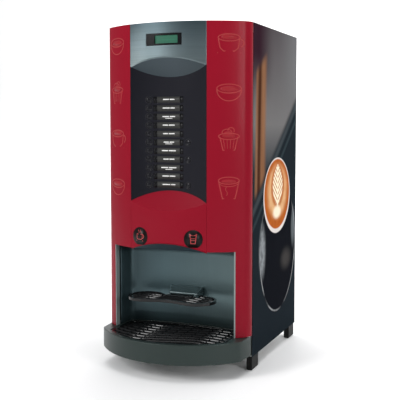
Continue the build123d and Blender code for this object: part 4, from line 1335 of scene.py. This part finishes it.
def grille_piece():
    """Rim of the drip grille, its wavy bars and the straight ribs below them."""
    low_z, high_z = TRAY_TOP_Z - 6 * MM, TRAY_TOP_Z - 1 * MM
    inner = grille_outline(9.0)
    rim = prism("grille_rim", in_metres(grille_outline(0.0)), low_z, high_z, "drip_grille", grille_black,
                [in_metres(inner)])
    bevel(rim, 1.2 * MM, 2, 40)
    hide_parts("drip_grille")
    bars = slats(inner, first_y=-170, pitch=23, count=12, width=10.0, sway=17, wave=330, phase=20,
                 low_z=low_z, high_z=high_z)
    for x in range(-140, 141, 28):
        low, high = span_at(inner, x)
        bars.append(ribbon([(x, low - 1), (x, high + 1)], 4, low_z, high_z - 1.4 * MM))
    piece = joined("grille_bars", bars, "drip_grille", grille_black)
    crisp(piece, 50)


def shelf_outline(inset):
    """The two-lobed cup shelf in plan, in millimetres, counter-clockwise from the left."""
    radius = 50.0 - inset
    ends = (46 - 0.1 * inset, -67 + 0.1 * inset)
    right = curve((64, -32), (radius, radius), -111, 105, 40)
    left = curve((-85, -32), (radius, radius), 39 - inset, 291, 40)
    waist, y = [], -78.6 + inset
    for k in range(1, 20):
        t = k / 20
        hump = t * (1 - t)
        waist.append((ends[1] + (ends[0] - ends[1]) * t, y + 46 * hump * (0.6 + 1.6 * hump)))
    back = [(51 - inset, -4.0 - inset), (-46 + inset, -4.0 - inset)]
    return left + waist + right + back


SHELF_Z = (177 * MM, 185 * MM)
HINGE_Y, HINGE_Z = 5, 181 * MM


def shelf_pieces():
    """Rim, bars and hinge barrel of the folding cup shelf."""
    low_z, high_z = SHELF_Z
    inner = shelf_outline(5.5)
    rim = prism("cup_shelf_rim", in_metres(shelf_outline(0.0)), low_z, high_z, "cup_shelf", grille_black,
                [in_metres(inner)])
    bevel(rim, 1.6 * MM, 3, 40)
    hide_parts("cup_shelf")
    bars = slats(inner, first_y=-72, pitch=19, count=6, width=7.5, sway=8, wave=190, phase=-10,
                 low_z=low_z + 2 * MM, high_z=high_z - 0.4 * MM)
    for x in range(-108, 73, 36):
        span = span_at(inner, x)
        bars.append(ribbon([(x, span[0] - 1), (x, span[1] + 1)], 3.4, low_z + 1 * MM, high_z - 2 * MM))
    piece = joined("cup_shelf_bars", bars, "cup_shelf", grille_black)
    crisp(piece, 50)
    web = box_mesh((*local(-28, -8), low_z), (*local(36, HINGE_Y), high_z - 0.3 * MM))
    hinge = rod(5.5 * MM, 64 * MM, (*local(-28, HINGE_Y), HINGE_Z), (1, 0, 0), 32)
    barrel = joined("cup_shelf_barrel", [web, hinge], "cup_shelf", grille_black)
    crisp(barrel, 40)


def bracket_piece():
    """Wedge on the niche's back wall, with two ears and a pin for the cup shelf."""
    plan = [(-38, 12), (46, 12), (48, 52), (-52, 52)]
    tops = (190, 190, 201.5, 201.5)
    low_z = 174 * MM
    verts = [(*local(*point), low_z) for point in plan]
    verts += [(*local(*point), top * MM) for point, top in zip(plan, tops)]
    faces = [(3, 2, 1, 0), (4, 5, 6, 7), (0, 1, 5, 4), (1, 2, 6, 5), (2, 3, 7, 6), (3, 0, 4, 7)]
    wedge = bevel(new_object("shelf_bracket_wedge", verts, faces, "cabinet", bracket_slate), 3 * MM, 4, 30)
    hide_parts("shelf_bracket")
    ears = []
    for x in ((-38, -31), (39, 46)):
        ears.append(box_mesh((*local(x[0], -0.5), 176 * MM), (*local(x[1], 14), 187 * MM)))
    ear_piece = bevel(joined("shelf_bracket_ears", ears, "cabinet", bracket_slate), 1.5 * MM, 3, 30)
    pin = rod(2.5 * MM, 78 * MM, (*local(-35, HINGE_Y), HINGE_Z), (1, 0, 0), 24)
    pin_piece = joined("shelf_pin", [pin], "cabinet", screw_metal)
    crisp(pin_piece, 40)


liner_pieces()
tray_piece()
grille_piece()
shelf_pieces()
bracket_piece()


# ---- finishes on the carried-over nodes ----------------------------------------------------
CARRIED = {
    "left_side_panel": cabinet_black,
    "right_side_panel": side_print,
    "top_cover": cabinet_black,
    "base_pan": zinc,
    "front_frame": cabinet_black,
    "hinge_brackets": zinc,
    "rear_panel": zinc,
    "panel_screws": screw_metal,
    "bulkhead": zinc,
    "canister_lids": white_plastic,
    "drive_motors": motor_steel,
    "spout_block": bezel_black,
    "drink_hoses": hose_rubber,
    "boiler": boiler_jacket,
    "water_valves": brass,
    "water_inlet": brass,
    "power_inlet": bezel_black,
    "feet": feet_black,
    "door_frame": trim_grey,
    "display_module": bezel_black,
    "niche_hood": hood_slate,
    "control_board": circuit,
    "door_lock": screw_metal,
}
for number in (1, 2, 3):
    CARRIED[f"canister_{number}"] = milky
    CARRIED[f"auger_{number}"] = white_plastic
for number in (1, 2):
    CARRIED[f"mixing_bowl_{number}"] = white_plastic
    CARRIED[f"whipper_{number}"] = white_plastic
for name, material in CARRIED.items():
    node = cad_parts[name]
    for place in node.material_slots:
        place.material = material
    if not node.material_slots:
        node.data.materials.append(material)


# ---- floor, light and camera ------------------------------------------------------------------
def floor_material():
    """Pale matt floor."""
    material, net, shader = principled("pale_floor", 0.0, 0.55, ior=1.2)
    tone = net.mix(net.noise(net.place(), 1.6, 2.0), (0.90, 0.90, 0.90, 1), (0.93, 0.93, 0.93, 1))
    net.feed(shader.inputs["Base Color"], tone)
    net.feed(shader.inputs["Roughness"], net.plus(net.times(net.noise(net.place(), 9.0), 0.1), 0.5))
    return material


def studio():
    """Floor that curves up into a back wall."""
    verts, faces, profile = [], [], [(-6.0, 0.0), (3.0, 0.0)]
    profile += [(3.0 + 1.5 * sin(radians(a)), 1.5 - 1.5 * cos(radians(a))) for a in range(10, 100, 10)]
    profile.append((4.5, 6.0))
    for y, z in profile:
        verts += [(-9.0, y, z), (9.0, y, z)]
    for k in range(len(profile) - 1):
        faces.append((2 * k, 2 * k + 1, 2 * k + 3, 2 * k + 2))
    mesh = bpy.data.meshes.new("studio_floor")
    mesh.from_pydata(verts, [], faces)
    for polygon in mesh.polygons:
        polygon.use_smooth = True
    mesh.materials.append(floor_material())
    piece = bpy.data.objects.new("studio_floor", mesh)
    bpy.context.scene.collection.objects.link(piece)


def lamp(name, place, aim, size, power, colour=(1, 1, 1)):
    """A square soft light that faces a point."""
    data = bpy.data.lights.new(name, "AREA")
    data.shape = "RECTANGLE"
    data.size, data.size_y = size
    data.energy = power
    data.color = colour
    light = bpy.data.objects.new(name, data)
    light.location = place
    light.rotation_euler = (Vector(aim) - Vector(place)).to_track_quat("-Z", "Y").to_euler()
    bpy.context.scene.collection.objects.link(light)


studio()
lamp("key_from_left", (-2.1, -2.8, 2.3), (0, 0, 0.5), (1.5, 2.0), 88)
lamp("fill_from_right", (3.2, -1.9, 1.4), (0, 0, 0.4), (1.2, 1.6), 52)
lamp("overhead", (0.0, 0.3, 3.4), (0, 0.2, 0.0), (2.6, 2.6), 62)
lamp("wall_wash", (0.0, 1.2, 3.0), (0, 4.4, 1.2), (4.0, 1.0), 230)
world = bpy.data.worlds.new("studio_world")
world.use_nodes = True
world.node_tree.nodes["Background"].inputs["Color"].default_value = (0.9, 0.92, 0.95, 1)
world.node_tree.nodes["Background"].inputs["Strength"].default_value = 0.34
bpy.context.scene.world = world

lens_data = bpy.data.cameras.new("camera")
lens_data.lens = 71.55  # millimetres, for a sensor 36 wide
lens_data.sensor_width = 36
lens_data.shift_y = -0.05
camera = bpy.data.objects.new("camera", lens_data)
camera.location = (0.865, -2.0481, 0.6451)
camera.rotation_euler = (radians(85.97), 0, radians(22.68))
bpy.context.scene.collection.objects.link(camera)
bpy.context.scene.camera = camera
bpy.context.scene.view_settings.view_transform = "Standard"
